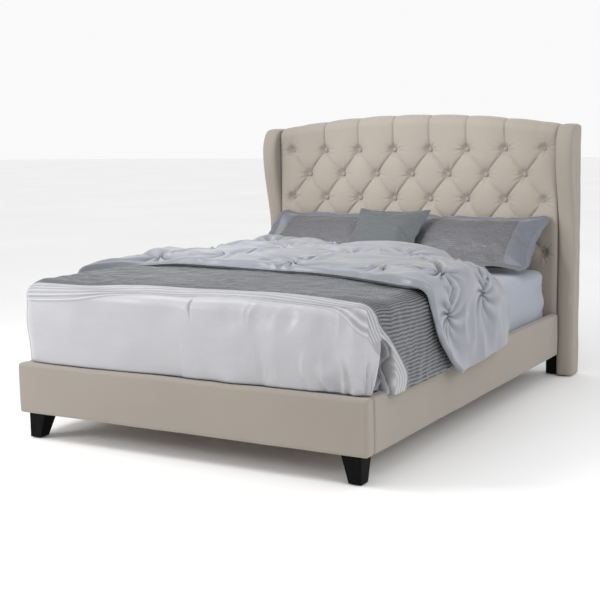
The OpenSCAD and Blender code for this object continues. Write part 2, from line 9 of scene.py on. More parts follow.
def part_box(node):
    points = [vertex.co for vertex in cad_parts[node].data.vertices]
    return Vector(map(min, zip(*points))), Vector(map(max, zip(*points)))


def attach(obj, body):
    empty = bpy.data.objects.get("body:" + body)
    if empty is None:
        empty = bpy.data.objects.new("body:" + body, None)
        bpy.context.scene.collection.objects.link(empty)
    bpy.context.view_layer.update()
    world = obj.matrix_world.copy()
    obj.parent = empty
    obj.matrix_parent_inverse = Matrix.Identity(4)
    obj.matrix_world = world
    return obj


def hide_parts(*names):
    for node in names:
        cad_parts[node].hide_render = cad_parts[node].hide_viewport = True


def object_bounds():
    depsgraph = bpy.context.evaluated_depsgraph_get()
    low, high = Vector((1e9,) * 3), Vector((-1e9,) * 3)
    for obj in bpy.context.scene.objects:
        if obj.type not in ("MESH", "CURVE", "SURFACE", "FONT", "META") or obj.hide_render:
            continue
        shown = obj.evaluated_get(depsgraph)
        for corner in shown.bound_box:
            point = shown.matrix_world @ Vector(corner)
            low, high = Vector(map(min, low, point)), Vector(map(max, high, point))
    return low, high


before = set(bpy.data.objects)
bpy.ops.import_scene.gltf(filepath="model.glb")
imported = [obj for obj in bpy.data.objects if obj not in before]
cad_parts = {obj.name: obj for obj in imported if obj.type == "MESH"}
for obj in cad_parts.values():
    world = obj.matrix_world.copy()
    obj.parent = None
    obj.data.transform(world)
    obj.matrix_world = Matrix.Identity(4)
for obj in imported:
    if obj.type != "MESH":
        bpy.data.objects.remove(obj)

cad_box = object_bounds()

# ---- The frame's places, in metres


def corners(node):
    low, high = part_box(node)
    return np.array(low), np.array(high)


foot_y = corners("footboard_cover")[0][1]
panel_lo, panel_hi = corners("headboard_cover")
mattress_lo, mattress_hi = corners("mattress")
comforter_lo, comforter_hi = corners("comforter")


# ---- Numbers: noise and curves


def value_noise(x, y, seed):
    """Smooth noise from -1 to 1 whose features are one unit across."""
    table = np.random.default_rng(seed).random((64, 64)) * 2 - 1
    ix, iy = np.floor(x).astype(int), np.floor(y).astype(int)
    fx, fy = x - ix, y - iy
    fx, fy = fx * fx * (3 - 2 * fx), fy * fy * (3 - 2 * fy)

    def corner(a, b):
        return table[(ix + a) % 64, (iy + b) % 64]

    low = corner(0, 0) * (1 - fx) + corner(1, 0) * fx
    high = corner(0, 1) * (1 - fx) + corner(1, 1) * fx
    return low * (1 - fy) + high * fy


def fbm(x, y, seed, octaves=3):
    """Noise of several sizes, each half as large and half as strong as the one before."""
    return sum(value_noise(x * 2**i, y * 2**i, seed + i) / 2**i for i in range(octaves))


def ease(t):
    t = np.clip(t, 0, 1)
    return t * t * (3 - 2 * t)


def curve_through(points, x):
    """A smooth curve through a few (x, y) points, level beyond its ends."""
    px, py = np.array(points, float).T
    slope = np.gradient(py, px)
    x = np.clip(x, px[0], px[-1])
    i = np.clip(np.searchsorted(px, x) - 1, 0, len(px) - 2)
    h = px[i + 1] - px[i]
    t = (x - px[i]) / h
    return (
        (2 * t**3 - 3 * t**2 + 1) * py[i]
        + (t**3 - 2 * t**2 + t) * h * slope[i]
        + (3 * t**2 - 2 * t**3) * py[i + 1]
        + (t**3 - t**2) * h * slope[i + 1]
    )


def bump(d, width):
    """A smooth hill, 1 where d is 0."""
    return np.exp(-((d / width) ** 2))


def edge_swell(d, reach, power=2.3):
    """Rises from 0 at an edge to 1 at reach from it, as stuffed cloth does."""
    t = np.clip(d / reach, 0, 1)
    return (1 - (1 - t) ** power) ** (1 / power)


def nearest_of(places, x, y):
    """Distance and direction from the nearest of a few (x, y) places, and which it is."""
    dx, dy = x[..., None] - places[:, 0], y[..., None] - places[:, 1]
    r = np.hypot(dx, dy)
    which = r.argmin(-1)
    dx, dy, r = (np.take_along_axis(g, which[..., None], -1)[..., 0] for g in (dx, dy, r))
    return r, np.arctan2(dy, dx), which


# ---- Meshes


def vertex_normals(points, quads):
    a, b, c, d = (points[quads[:, i]] for i in range(4))
    normal = np.cross(c - a, d - b)
    total = np.zeros_like(points)
    for i in range(4):
        np.add.at(total, quads[:, i], normal)
    return total / np.maximum(np.linalg.norm(total, axis=1, keepdims=True), 1e-12)


def box_lattice(xs, ys, zs, open_sides=()):
    """Lattice places (i, j, k) and outward quads over a box's welded sides."""
    size = (len(xs), len(ys), len(zs))
    found = []
    for axis in range(3):
        for end in (0, 1):
            if (axis, end) in open_sides:
                continue
            u, v = [a for a in range(3) if a != axis]
            iu, iv = np.meshgrid(np.arange(size[u] - 1), np.arange(size[v] - 1), indexing="ij")
            ids = []
            for du, dv in ((0, 0), (1, 0), (1, 1), (0, 1)):
                place = [None] * 3
                place[axis] = np.full(iu.shape, end * (size[axis] - 1))
                place[u], place[v] = iu + du, iv + dv
                ids.append((place[0] * size[1] + place[1]) * size[2] + place[2])
            quads = np.stack(ids, -1).reshape(-1, 4)
            found.append(quads if (end == 1) != (axis == 1) else quads[:, ::-1])
    used, quads = np.unique(np.concatenate(found), return_inverse=True)
    quads = quads.reshape(-1, 4)
    ijk = np.stack(np.unravel_index(used, size), -1)
    return ijk, quads


def rounded(points, low, high, radius):
    """Points on a box's sides moved onto the same box with rounded edges and corners."""
    radius = np.broadcast_to(np.array(radius, float), 3)
    inner = np.clip(points, low + radius, high - radius)
    d = (points - inner) / radius
    length = np.maximum(np.linalg.norm(d, axis=1), 1e-9)
    return inner + radius * d * (np.abs(d).max(1) / length)[:, None]


def fine_near_ends(low, high, step, margin, fine_step):
    """Rising values from low to high, closer together within margin of both ends."""
    margin = min(margin, (high - low) / 3)
    edge = np.linspace(0, margin, int(margin / fine_step) + 2)[:-1]
    count = max(int((high - low - 2 * margin) / step), 1)
    middle = np.linspace(low + margin, high - margin, count + 1)
    return np.concatenate([low + edge, middle, high - edge[::-1]])


def padded_block(low, high, radius, step, margin, fine_step):
    """A box with rounded edges: flat places, rounded points, quads and normals."""
    axes = [fine_near_ends(low[i], high[i], step, margin, fine_step) for i in range(3)]
    ijk, quads = box_lattice(*axes)
    flat = np.stack([axes[i][ijk[:, i]] for i in range(3)], -1)
    points = rounded(flat, low, high, radius)
    return flat, points, quads, vertex_normals(points, quads)


def thickened(points, quads, inner_points):
    """A closed shell of an open sheet and its inner side."""
    n = len(points)
    edges = np.concatenate([quads[:, [i, (i + 1) % 4]] for i in range(4)])
    key = np.sort(edges, 1)
    key = key[:, 0] * n + key[:, 1]
    _, first, count = np.unique(key, return_index=True, return_counts=True)
    rim = edges[first[count == 1]]
    rim_quads = np.stack([rim[:, 1], rim[:, 0], rim[:, 0] + n, rim[:, 1] + n], -1)
    closed = np.concatenate([quads, quads[:, ::-1] + n, rim_quads])
    return np.concatenate([points, inner_points]), closed


def grid_quads(nu, nv):
    iu, iv = np.meshgrid(np.arange(nu - 1), np.arange(nv - 1), indexing="ij")
    a = iu * nv + iv
    return np.stack([a, a + nv, a + nv + 1, a + 1], -1).reshape(-1, 4)


def loop_quads(nu, nv, both_ways=False):
    """Quads of a grid that closes on itself the second way, or both ways."""
    i, j = np.meshgrid(np.arange(nu if both_ways else nu - 1), np.arange(nv), indexing="ij")
    here, ahead = i * nv, (i + 1) % nu * nv
    after = (j + 1) % nv
    return np.stack([here + j, ahead + j, ahead + after, here + after], -1).reshape(-1, 4)


def box_uv(points, quads):
    """Metre coordinates taken straight from the side that each face looks to."""
    corner = points[quads]
    normal = np.abs(np.cross(corner[:, 2] - corner[:, 0], corner[:, 3] - corner[:, 1]))
    axis = normal.argmax(1)
    across = np.where(axis == 0, 1, 0)[:, None]
    up = np.where(axis == 2, 1, 2)[:, None]
    rows = np.arange(len(quads))[:, None]
    ring = np.arange(4)[None, :]
    return np.stack([corner[rows, ring, across], corner[rows, ring, up]], -1)


def make(name, points, quads, materials, body, uv=None, which=None, ends=(), crest=None):
    """A smooth mesh object in the row frame, with its UVs in metres, riding on a body.

    which is each quad's material, ends are many-sided faces, and crest is 0 to 1 at each point, from the
    bottom to the top of a rib, tuck or fold; materials paint shade where it is low and highlight where it
    is high.
    """
    mesh = bpy.data.meshes.new(name)
    sizes = np.concatenate([np.full(len(quads), 4), [len(e) for e in ends]]).astype(int)
    corner = np.concatenate([quads.ravel(), *ends])
    mesh.vertices.add(len(points))
    mesh.vertices.foreach_set("co", np.asarray(points, np.float32).ravel())
    mesh.loops.add(len(corner))
    mesh.loops.foreach_set("vertex_index", corner.astype(np.int32))
    mesh.polygons.add(len(sizes))
    starts = np.concatenate([[0], np.cumsum(sizes)[:-1]])
    mesh.polygons.foreach_set("loop_start", starts.astype(np.int32))
    mesh.update(calc_edges=True)
    flat = box_uv(points, quads).reshape(-1, 2) if uv is None else uv[quads.ravel()]
    spare = np.zeros((len(corner) - len(flat), 2))
    layer = mesh.uv_layers.new(name="metres")
    layer.data.foreach_set("uv", np.concatenate([flat, spare]).astype(np.float32).ravel())
    if crest is not None:
        values = mesh.attributes.new("crest", "FLOAT", "POINT").data
        values.foreach_set("value", np.asarray(crest, np.float32))
    for material in materials:
        mesh.materials.append(material)
    if which is not None:
        mesh.polygons.foreach_set("material_index", np.asarray(which, np.int32))
    mesh.polygons.foreach_set("use_smooth", np.ones(len(sizes), bool))
    mesh.validate()
    piece = bpy.data.objects.new(name, mesh)
    bpy.context.scene.collection.objects.link(piece)
    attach(piece, body)
    return piece


# ---- Materials


class Shader:
    """A material with a Principled shader, and short calls that add its nodes."""

    def __init__(self, name, **settings):
        self.material = bpy.data.materials.new(name)
        self.material.use_nodes = True
        self.nodes = self.material.node_tree.nodes
        self.links = self.material.node_tree.links
        self.surface = self.nodes["Principled BSDF"]
        for key, value in settings.items():
            self.surface.inputs[key.replace("_", " ")].default_value = value

    def add(self, kind, inputs=None, **settings):
        node = self.nodes.new(kind)
        for key, value in settings.items():
            setattr(node, key, value)
        for key, value in (inputs or {}).items():
            if isinstance(value, bpy.types.NodeSocket):
                self.links.new(value, node.inputs[key])
            else:
                node.inputs[key].default_value = value
        return node

    def metres(self):
        return self.add("ShaderNodeUVMap", uv_map="metres").outputs["UV"]

    def place(self):
        return self.add("ShaderNodeTexCoord").outputs["Object"]

    def scaled(self, vector, scale, turn=0.0):
        values = {"Vector": vector, "Scale": scale, "Rotation": (0, 0, turn)}
        return self.add("ShaderNodeMapping", values).outputs["Vector"]

    def noise(self, vector, scale, detail=2.0, rough=0.5):
        values = {"Vector": vector, "Scale": scale, "Detail": detail, "Roughness": rough}
        return self.add("ShaderNodeTexNoise", values).outputs["Fac"]

    def wave(self, vector, scale, axis="X", distortion=0.0):
        values = {"Vector": vector, "Scale": scale, "Distortion": distortion}
        return self.add("ShaderNodeTexWave", values, bands_direction=axis).outputs["Fac"]

    def math(self, operation, a, b=0.0):
        node = self.add("ShaderNodeMath", {0: a, 1: b}, operation=operation)
        return node.outputs[0]

    def ramp(self, factor, *stops):
        node = self.add("ShaderNodeValToRGB", {"Fac": factor})
        marks = node.color_ramp.elements
        while len(marks) < len(stops):
            marks.new(0.5)
        for mark, (at, colour) in zip(marks, stops):
            mark.position = at
            mark.color = (*colour, 1)
        return node.outputs["Color"]

    def blend(self, factor, a, b, kind="MIX"):
        node = self.add("ShaderNodeMix", data_type="RGBA", blend_type=kind)
        for socket, value in zip((0, 6, 7), (factor, a, b)):
            if isinstance(value, bpy.types.NodeSocket):
                self.links.new(value, node.inputs[socket])
            elif socket:
                node.inputs[socket].default_value = (*value, 1)
            else:
                node.inputs[socket].default_value = value
        return node.outputs[2]

    def colour(self, socket):
        self.links.new(socket, self.surface.inputs["Base Color"])

    def relief(self, height, strength, distance):
        values = {"Height": height, "Strength": strength, "Distance": distance}
        normal = self.add("ShaderNodeBump", values).outputs["Normal"]
        self.links.new(normal, self.surface.inputs["Normal"])

    def rough(self, factor, low, high):
        values = {"Value": factor, "To Min": low, "To Max": high}
        result = self.add("ShaderNodeMapRange", values).outputs["Result"]
        self.links.new(result, self.surface.inputs["Roughness"])


def shade(colour, factor):
    return tuple(c * factor for c in colour)


WAVE_TURN = 2 * math.pi / 20   # a wave texture whose scale is this over a pitch repeats at it


def threads(shader, uv, pitch, axis):
    """Rounded threads side by side, pitch metres apart."""
    return shader.wave(uv, WAVE_TURN / pitch, axis)


def woven(name, colour, pitch, contrast, slub=0.06, depth=0.0004, **settings):
    """Plain weave: crossing threads, slubs along both ways and a slow change of tone."""
    s = Shader(name, **settings)
    uv = s.metres()
    warp, weft = threads(s, uv, pitch, "X"), threads(s, uv, pitch * 1.1, "Y")
    cross = s.math("MULTIPLY", warp, weft)
    slub_a = s.noise(s.scaled(uv, (13, 150, 1)), 1, 5, 0.68)
    slub_b = s.noise(s.scaled(uv, (150, 13, 1)), 1, 5, 0.68)
    slubs = s.math("ADD", slub_a, slub_b)
    slow = s.noise(s.place(), 2.4, 3)
    tone = s.ramp(cross, (0.0, shade(colour, 1 - contrast)), (0.7, shade(colour, 1 + contrast / 3)))
    mottle = s.ramp(slubs, (0.35, (1 - slub * 2,) * 3), (0.5, (1.0,) * 3), (0.66, (1 + slub,) * 3))
    tone = s.blend(1.0, tone, mottle, "MULTIPLY")
    drift = s.ramp(slow, (0.3, (0.95, 0.95, 0.96)), (0.7, (1.03, 1.02, 1.0)))
    s.colour(s.blend(1.0, tone, drift, "MULTIPLY"))
    s.relief(s.math("ADD", cross, slubs), 0.5, depth)
    s.rough(slubs, 0.78, 0.95)
    return s.material


def painted_crest_shade(s, tone, dark, light, share):
    """Painted shade in the valleys and painted highlight on the crests of real ribs, tucks and folds: the
    tone darkened and lightened by the crest attribute.
    """
    crest = s.add("ShaderNodeAttribute", attribute_name="crest").outputs["Fac"]
    return s.blend(share, tone, s.ramp(crest, (0.15, dark), (0.9, light)))


def satin(name, colour, roughness, sheen=0.3, streak=0.05, crest_shade_share=0.0, **settings):
    """Smooth satin weave: fine lengthways floats, soft streaks and a broad lustre."""
    s = Shader(name, Sheen_Weight=sheen, Sheen_Roughness=0.35, **settings)
    uv = s.metres()
    floats = s.noise(s.scaled(uv, (1500, 180, 1)), 1, 2, 0.5)
    streaks = s.noise(s.scaled(uv, (9, 60, 1)), 1, 3, 0.55)
    creases = s.noise(s.scaled(uv, (26, 18, 1), 0.5), 1, 5, 0.6)
    tone = s.ramp(streaks, (0.3, shade(colour, 1 - streak)), (0.7, shade(colour, 1 + streak)))
    tone = s.blend(0.25, tone, s.ramp(floats, (0.3, shade(colour, 0.85)), (0.7, colour)))
    # painted shade in the valleys and painted highlight on the crests: the colour at 0.12 and 1.6 times,
    # set by the crest attribute
    if crest_shade_share:
        tone = painted_crest_shade(s, tone, shade(colour, 0.12), shade(colour, 1.6), crest_shade_share)
    s.colour(tone)
    s.relief(s.math("ADD", floats, s.math("MULTIPLY", creases, 6)), 0.35, 0.0006)
    s.rough(streaks, roughness - 0.05, roughness + 0.08)
    return s.material


def crinkled(name, colour, dark, light, roughness=0.42, crest_shade_share=0.0):
    """Crinkled ribbed satin: painted shade in the valleys, painted highlight on the crests and broken
    streaks of painted highlight.
    """
    s = Shader(name, Sheen_Weight=0.35, Sheen_Roughness=0.3)
    uv = s.metres()
    broken = s.noise(s.scaled(uv, (330, 60, 1)), 1, 4, 0.65)
    grain = s.noise(s.scaled(uv, (900, 500, 1)), 1, 2, 0.6)
    both = s.math("ADD", s.math("MULTIPLY", broken, 0.7), s.math("MULTIPLY", grain, 0.3))
    # painted highlight and shade: stretched noise streaks between the dark and light tones
    tone = s.ramp(both, (0.36, dark), (0.5, colour), (0.68, light))
    s.colour(painted_crest_shade(s, tone, dark, light, crest_shade_share) if crest_shade_share else tone)
    s.relief(both, 0.6, 0.0016)
    s.rough(grain, roughness - 0.08, roughness + 0.15)
    return s.material


def painted_wood(name, colour):
    """Black-stained wood under satin lacquer, worn a little paler at random."""
    s = Shader(name, Specular_IOR_Level=0.05)
    grain = s.noise(s.scaled(s.place(), (90, 90, 7)), 1, 5, 0.6)
    wear = s.noise(s.place(), 14, 5, 0.65)
    tone = s.ramp(grain, (0.3, shade(colour, 0.7)), (0.7, shade(colour, 1.5)))
    worn = s.ramp(wear, (0.66, (0, 0, 0)), (0.8, (0.35, 0.35, 0.35)))
    s.colour(s.blend(worn, tone, shade(colour, 3)))
    s.relief(grain, 0.3, 0.0006)
    s.rough(wear, 0.38, 0.55)
    return s.material


def raw_wood(name, light, dark, ply=0.0):
    """Sawn softwood: long grain, growth rings, and glued layers if ply is their pitch."""
    s = Shader(name)
    place = s.place()
    rings = s.wave(s.scaled(place, (3, 3, 26)), 1.2, "Z", 7.0)
    grain = s.noise(s.scaled(place, (14, 14, 160)), 1, 5, 0.65)
    tone = s.blend(0.35, s.ramp(rings, (0.1, dark), (0.8, light)),
                   s.ramp(grain, (0.3, dark), (0.7, light)))
    if ply:
        layer = s.wave(place, WAVE_TURN / ply, "Y")
        tone = s.blend(0.4, tone, s.ramp(layer, (0.4, dark), (0.6, light)), "MULTIPLY")
    s.colour(tone)
    s.relief(grain, 0.4, 0.0008)
    s.rough(grain, 0.6, 0.8)
    return s.material


def foam(name, colour):
    s = Shader(name, Subsurface_Weight=0.1)
    cells = s.add("ShaderNodeTexVoronoi", {"Vector": s.place(), "Scale": 700.0})
    s.colour(s.ramp(cells.outputs["Distance"], (0.0, shade(colour, 0.7)), (0.5, colour)))
    s.relief(cells.outputs["Distance"], 0.7, 0.0008)
    s.rough(s.noise(s.place(), 30), 0.85, 0.98)
    return s.material


def metal(name, colour, roughness):
    """Zinc-plated steel: fine drawn lines, cloudy plating and duller spots."""
    s = Shader(name, Metallic=1.0)
    lines = s.noise(s.scaled(s.place(), (900, 60, 60)), 1, 3)
    cloud = s.noise(s.place(), 22, 5, 0.6)
    s.colour(s.ramp(cloud, (0.3, shade(colour, 0.7)), (0.7, colour)))
    s.relief(lines, 0.15, 0.0003)
    s.rough(cloud, roughness, roughness + 0.25)
    return s.material


def moulded(name, colour):
    s = Shader(name)
    grain = s.noise(s.place(), 420, 3)
    s.colour(s.ramp(grain, (0.3, shade(colour, 0.8)), (0.7, shade(colour, 1.2))))
    s.relief(grain, 0.3, 0.0003)
    s.rough(grain, 0.4, 0.6)
    return s.material


LINEN = (0.315, 0.280, 0.243)
LINENS = {"Sheen_Weight": 0.25, "Sheen_Roughness": 0.5}
MATERIALS = {
    "linen": woven("linen", LINEN, 0.0016, 0.28, 0.10, **LINENS),
    # button_linen is the linen a tenth darker: painted shade on the buttons in their wells
    "button_linen": woven("button_linen", shade(LINEN, 0.9), 0.0016, 0.3, **LINENS),
    "black_lining": woven("black_lining", (0.02, 0.02, 0.022), 0.0011, 0.4),
    "fitted_sheet": woven("fitted_sheet", (0.355, 0.39, 0.45), 0.0006, 0.12, 0.02,
                          0.0002, Sheen_Weight=0.15),
    # the last figure of satin_comforter, comforter_band, satin_quilt, sham_centre and cushion_cloth is its
    # share of painted shade and painted highlight from the crest attribute
    "satin_comforter": satin("satin_comforter", (0.41, 0.41, 0.43), 0.36, 0.3, 0.04, 0.5),
    "comforter_band": crinkled("comforter_band", (0.072, 0.076, 0.083),
                               (0.022, 0.024, 0.027), (0.22, 0.23, 0.25), 0.34, 0.65),
    "satin_quilt": satin("satin_quilt", (0.225, 0.234, 0.268), 0.29, 0.35, 0.03, 0.55),
    "sham_flange": satin("sham_flange", (0.125, 0.134, 0.160), 0.38),
    "sham_centre": crinkled("sham_centre", (0.088, 0.087, 0.095),
                            (0.045, 0.045, 0.05), (0.20, 0.20, 0.215), 0.42, 0.3),
    "cushion_cloth": crinkled("cushion_cloth", (0.076, 0.088, 0.091),
                              (0.045, 0.054, 0.056), (0.13, 0.148, 0.152), 0.6, 0.35),
    "black_wood": painted_wood("black_wood", (0.004, 0.004, 0.004)),
    "timber": raw_wood("timber", (0.55, 0.38, 0.22), (0.36, 0.22, 0.11)),
    "plywood": raw_wood("plywood", (0.58, 0.42, 0.26), (0.42, 0.28, 0.15), 0.0015),
    "slat_wood": raw_wood("slat_wood", (0.62, 0.46, 0.29), (0.46, 0.31, 0.17)),
    "foam": foam("foam", (0.75, 0.70, 0.48)),
    "bracket_steel": metal("bracket_steel", (0.55, 0.55, 0.56), 0.35),
    "bolt_steel": metal("bolt_steel", (0.62, 0.62, 0.60), 0.28),
    "black_plastic": moulded("black_plastic", (0.02, 0.02, 0.02)),
    "twine": woven("twine", (0.55, 0.47, 0.33), 0.0009, 0.4),
}


def finish_nodes():
    """Gives every CAD node the procedural material of its record slot."""
    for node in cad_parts.values():
        for slot in node.material_slots:
            found = slot.material.name.split(".")[0] if slot.material else ""
            slot.material = MATERIALS.get(found, MATERIALS["timber"])


# ---- The tufted headboard

WELL_DEPTH = 0.042     # from the fullest cloth to the bottom of a button's well
TOP_SWELL = 0.018      # swell of the cloth where it passes over the arched top
PANEL_STEP = 0.0036    # distance between points over the tufted cloth
ROLL = 0.035           # radius of the panel's rounded top edge
BACK_INSET = 0.012     # how far below the arch's top the cover meets the back lining
BUTTON_PROUD = 0.007   # how far a button stands before its CAD solid
BUTTON_R = 0.0135      # radius of a button in its cloth


def cluster_centres(node, reach):
    """Box centres of a node's separate small solids, in the plane of the headboard."""
    left = np.array([v.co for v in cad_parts[node].data.vertices])
    centres = []
    while len(left):
        near = np.hypot(left[:, 0] - left[0, 0], left[:, 2] - left[0, 2]) < reach
        group, left = left[near], left[~near]
        centres.append((group.min(0) + group.max(0)) / 2)
    return np.array(centres)


buttons = cluster_centres("tufting_buttons", 0.05)
top_row_z, last_row_z = buttons[:, 2].max(), buttons[:, 2].min()
top_row = np.sort(buttons[np.abs(buttons[:, 2] - top_row_z) < 0.01][:, 0])
spacing = np.diff(top_row).mean()
row_count = len(np.unique(np.round(buttons[:, 2], 2)))
row_pitch = (top_row_z - last_row_z) / (row_count - 1)


def arch_top(x):
    """Height of the arched top edge, from the panel's middle and side heights."""
    side = corners("left_wing_cover")[1][2]
    rise = panel_hi[2] - side
    half = panel_hi[0]
    radius = (half**2 + rise**2) / (2 * rise)
    return panel_hi[2] - radius + np.sqrt(radius**2 - x**2)


def tufting(x, z):
    """Height of the tufted cloth above its wells: diamonds, folds, puckers, channels."""
    across, up = (x - top_row[0]) / spacing, (z - top_row_z) / (2 * row_pitch)
    m, n = across + up, across - up
    fm, fn = m - np.round(m), n - np.round(n)
    diamond = np.abs(np.sin(np.pi * m) * np.sin(np.pi * n)) ** 0.34
    sharp = 0.20 * bump(fn, 0.028) * (1 - bump(fm, 0.13))
    lip = 0.07 * bump(fn - 0.075, 0.045) * (1 - bump(fm, 0.15))
    soft = 0.03 * bump(fm, 0.05) * (1 - bump(fn, 0.2))
    column = across - np.round(across)
    above = ease((z - top_row_z + 0.012) / 0.035)
    below = ease((last_row_z + 0.012 - z) / 0.05)
    channel = np.abs(np.sin(np.pi * across)) ** 0.30
    field = diamond - sharp - soft + lip
    crease = 0.16 * bump(column, 0.016) - 0.05 * bump(column - 0.05, 0.03)
    field = field * (1 - above) + (channel - crease) * above
    field = field * (1 - below) + below
    r, angle, nearest = nearest_of(buttons[:, [0, 2]], x, z)
    well = 1 - np.exp(-((r / 0.030) ** 1.25))
    count = 11 + (nearest * 5) % 4
    pucker = np.cos(angle * count + nearest * 1.7) + 0.6 * np.cos(angle * 7 + nearest)
    pucker = pucker * bump(r - 0.032, 0.026) * (0.6 + 0.4 * np.sin(angle + nearest * 2.1))
    in_field = ease((0.72 - np.abs(across - 3.5) / 4.9) / 0.05)
    height = 0.52 * well + 0.48 * field * in_field + 0.48 * (1 - in_field)
    height = np.minimum(height, 1) * np.minimum(1, 0.25 + well * 1.1)
    slow = fbm(x * 5, z * 5, 11) * 0.02
    return height + 0.045 * pucker + slow


def headboard_panel():
    half = panel_hi[0]
    xs = np.linspace(-half, half, int(2 * half / PANEL_STEP) + 1)
    top = arch_top(xs)[:, None] - TOP_SWELL
    well_y = panel_lo[1] + WELL_DEPTH
    back_y = corners("headboard_back_cloth")[0][1] - 0.0005
    seen_z = last_row_z - 0.09
    # up the face, round the rolled edge, over the top, and down the back
    rise = np.linspace(0, 1, int((panel_hi[2] - seen_z) / PANEL_STEP))
    low_rows = np.linspace(panel_lo[2], seen_z, 24)[:-1]
    low_rows = np.broadcast_to(low_rows, (len(xs), len(low_rows)))
    face_z = np.concatenate([low_rows, seen_z + rise * (top - ROLL - seen_z)], 1)
    rolled = np.linspace(0, math.pi / 2, 13)[1:]
    over = np.linspace(0, 1, 8)[1:]
    down = np.linspace(1, 0, 6)
    on_face, on_top = np.ones(face_z.shape[1]), np.ones(len(over))
    over_y = well_y + ROLL + over * (back_y - well_y - ROLL)
    y = np.concatenate([well_y * on_face, well_y + ROLL - ROLL * np.cos(rolled), over_y])
    z = np.concatenate([face_z, top - ROLL + ROLL * np.sin(rolled),
                        top + (TOP_SWELL - BACK_INSET) * over**1.5], 1)
    out_y = np.concatenate([-on_face, -np.cos(rolled), 0 * on_top])
    out_z = np.concatenate([0 * on_face, np.sin(rolled), on_top])
    arc = np.concatenate([face_z, top - ROLL + ROLL * rolled, top + over_y - well_y - ROLL], 1)
    turn = np.concatenate([0 * on_face, rolled / (math.pi / 2), 1 + over])
    swell = WELL_DEPTH + (TOP_SWELL - WELL_DEPTH) * ease(turn)
    swell = swell * np.where(turn > 1, 1 - 0.95 * ease(turn - 1), 1)
    x_grid = np.broadcast_to(xs[:, None], arc.shape)
    side = edge_swell(half - np.abs(x_grid) + 0.004, 0.035)
    offset = swell * tufting(x_grid, arc) * (0.35 + 0.65 * side)
    back_z = panel_lo[2] + (arch_top(xs)[:, None] - BACK_INSET - panel_lo[2]) * down
    loop_y = np.concatenate([y + out_y * offset, np.full_like(back_z, back_y)], 1)
    loop_z = np.concatenate([z + out_z * offset, back_z], 1)
    nx, nt = loop_y.shape
    x_loop = np.broadcast_to(xs[:, None], (nx, nt))
    points = np.stack([x_loop, loop_y, loop_z], -1).reshape(-1, 3)
    quads = loop_quads(nx, nt)
    along = np.concatenate([arc, arc[:, -1:] + 0.1 + 0.2 * np.arange(1, len(down) + 1)], 1)
    uv = np.stack([x_loop, along], -1).reshape(-1, 2)
    ends = [np.arange(nt), (nx - 1) * nt + np.arange(nt)[::-1]]
    piece = make("headboard_upholstery", points, quads, [MATERIALS["linen"]],
                 "bed_frame", uv=uv, ends=ends)
    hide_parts("headboard_cover", "headboard_foam")


def covered_buttons():
    """Domed buttons covered in the same cloth, one in each well; the cloth is made a tenth darker, painted
    shade.
    """
    front = corners("tufting_buttons")[0][1] - BUTTON_PROUD
    profile = np.array([(0.04, 0.0), (0.25, 0.0004), (0.5, 0.0016), (0.75, 0.0038),
                        (0.92, 0.0068), (1.0, 0.0100), (0.93, 0.0125)])
    sides = 24
    turn = np.arange(sides) * 2 * math.pi / sides
    radius, back = BUTTON_R * profile[:, :1], front + profile[:, 1:] + 0 * turn
    dome = np.stack([radius * np.cos(turn), back, radius * np.sin(turn)], -1).reshape(-1, 3)
    starts = np.arange(len(buttons)) * len(dome)
    points = np.concatenate([dome + [x, 0, z] for x, _, z in buttons])
    quads = np.concatenate([loop_quads(len(profile), sides) + start for start in starts])
    ring = np.arange(sides)
    last = len(dome) - sides
    ends = [end for start in starts for end in (start + ring, start + last + ring[::-1])]
    piece = make("covered_buttons", points, quads, [MATERIALS["button_linen"]],
                 "bed_frame", ends=ends)
    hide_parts("tufting_buttons")


# ---- Wings

WAIST_Z = 0.70         # height of the wing's narrowest place
CROWN_H = 0.143        # height of the wing's rounded crown
NOSE = 0.032           # depth of the wing's rounded front edge
WING_REACHES = (0.005, -0.008, 0.060)   # before the panel: at the foot, waist and widest
BACK_STRIP = 0.075     # width of the strip sewn on along the wing's back edge


def half_wave(t):
    return (1 - np.cos(np.pi * np.clip(t, 0, 1))) / 2


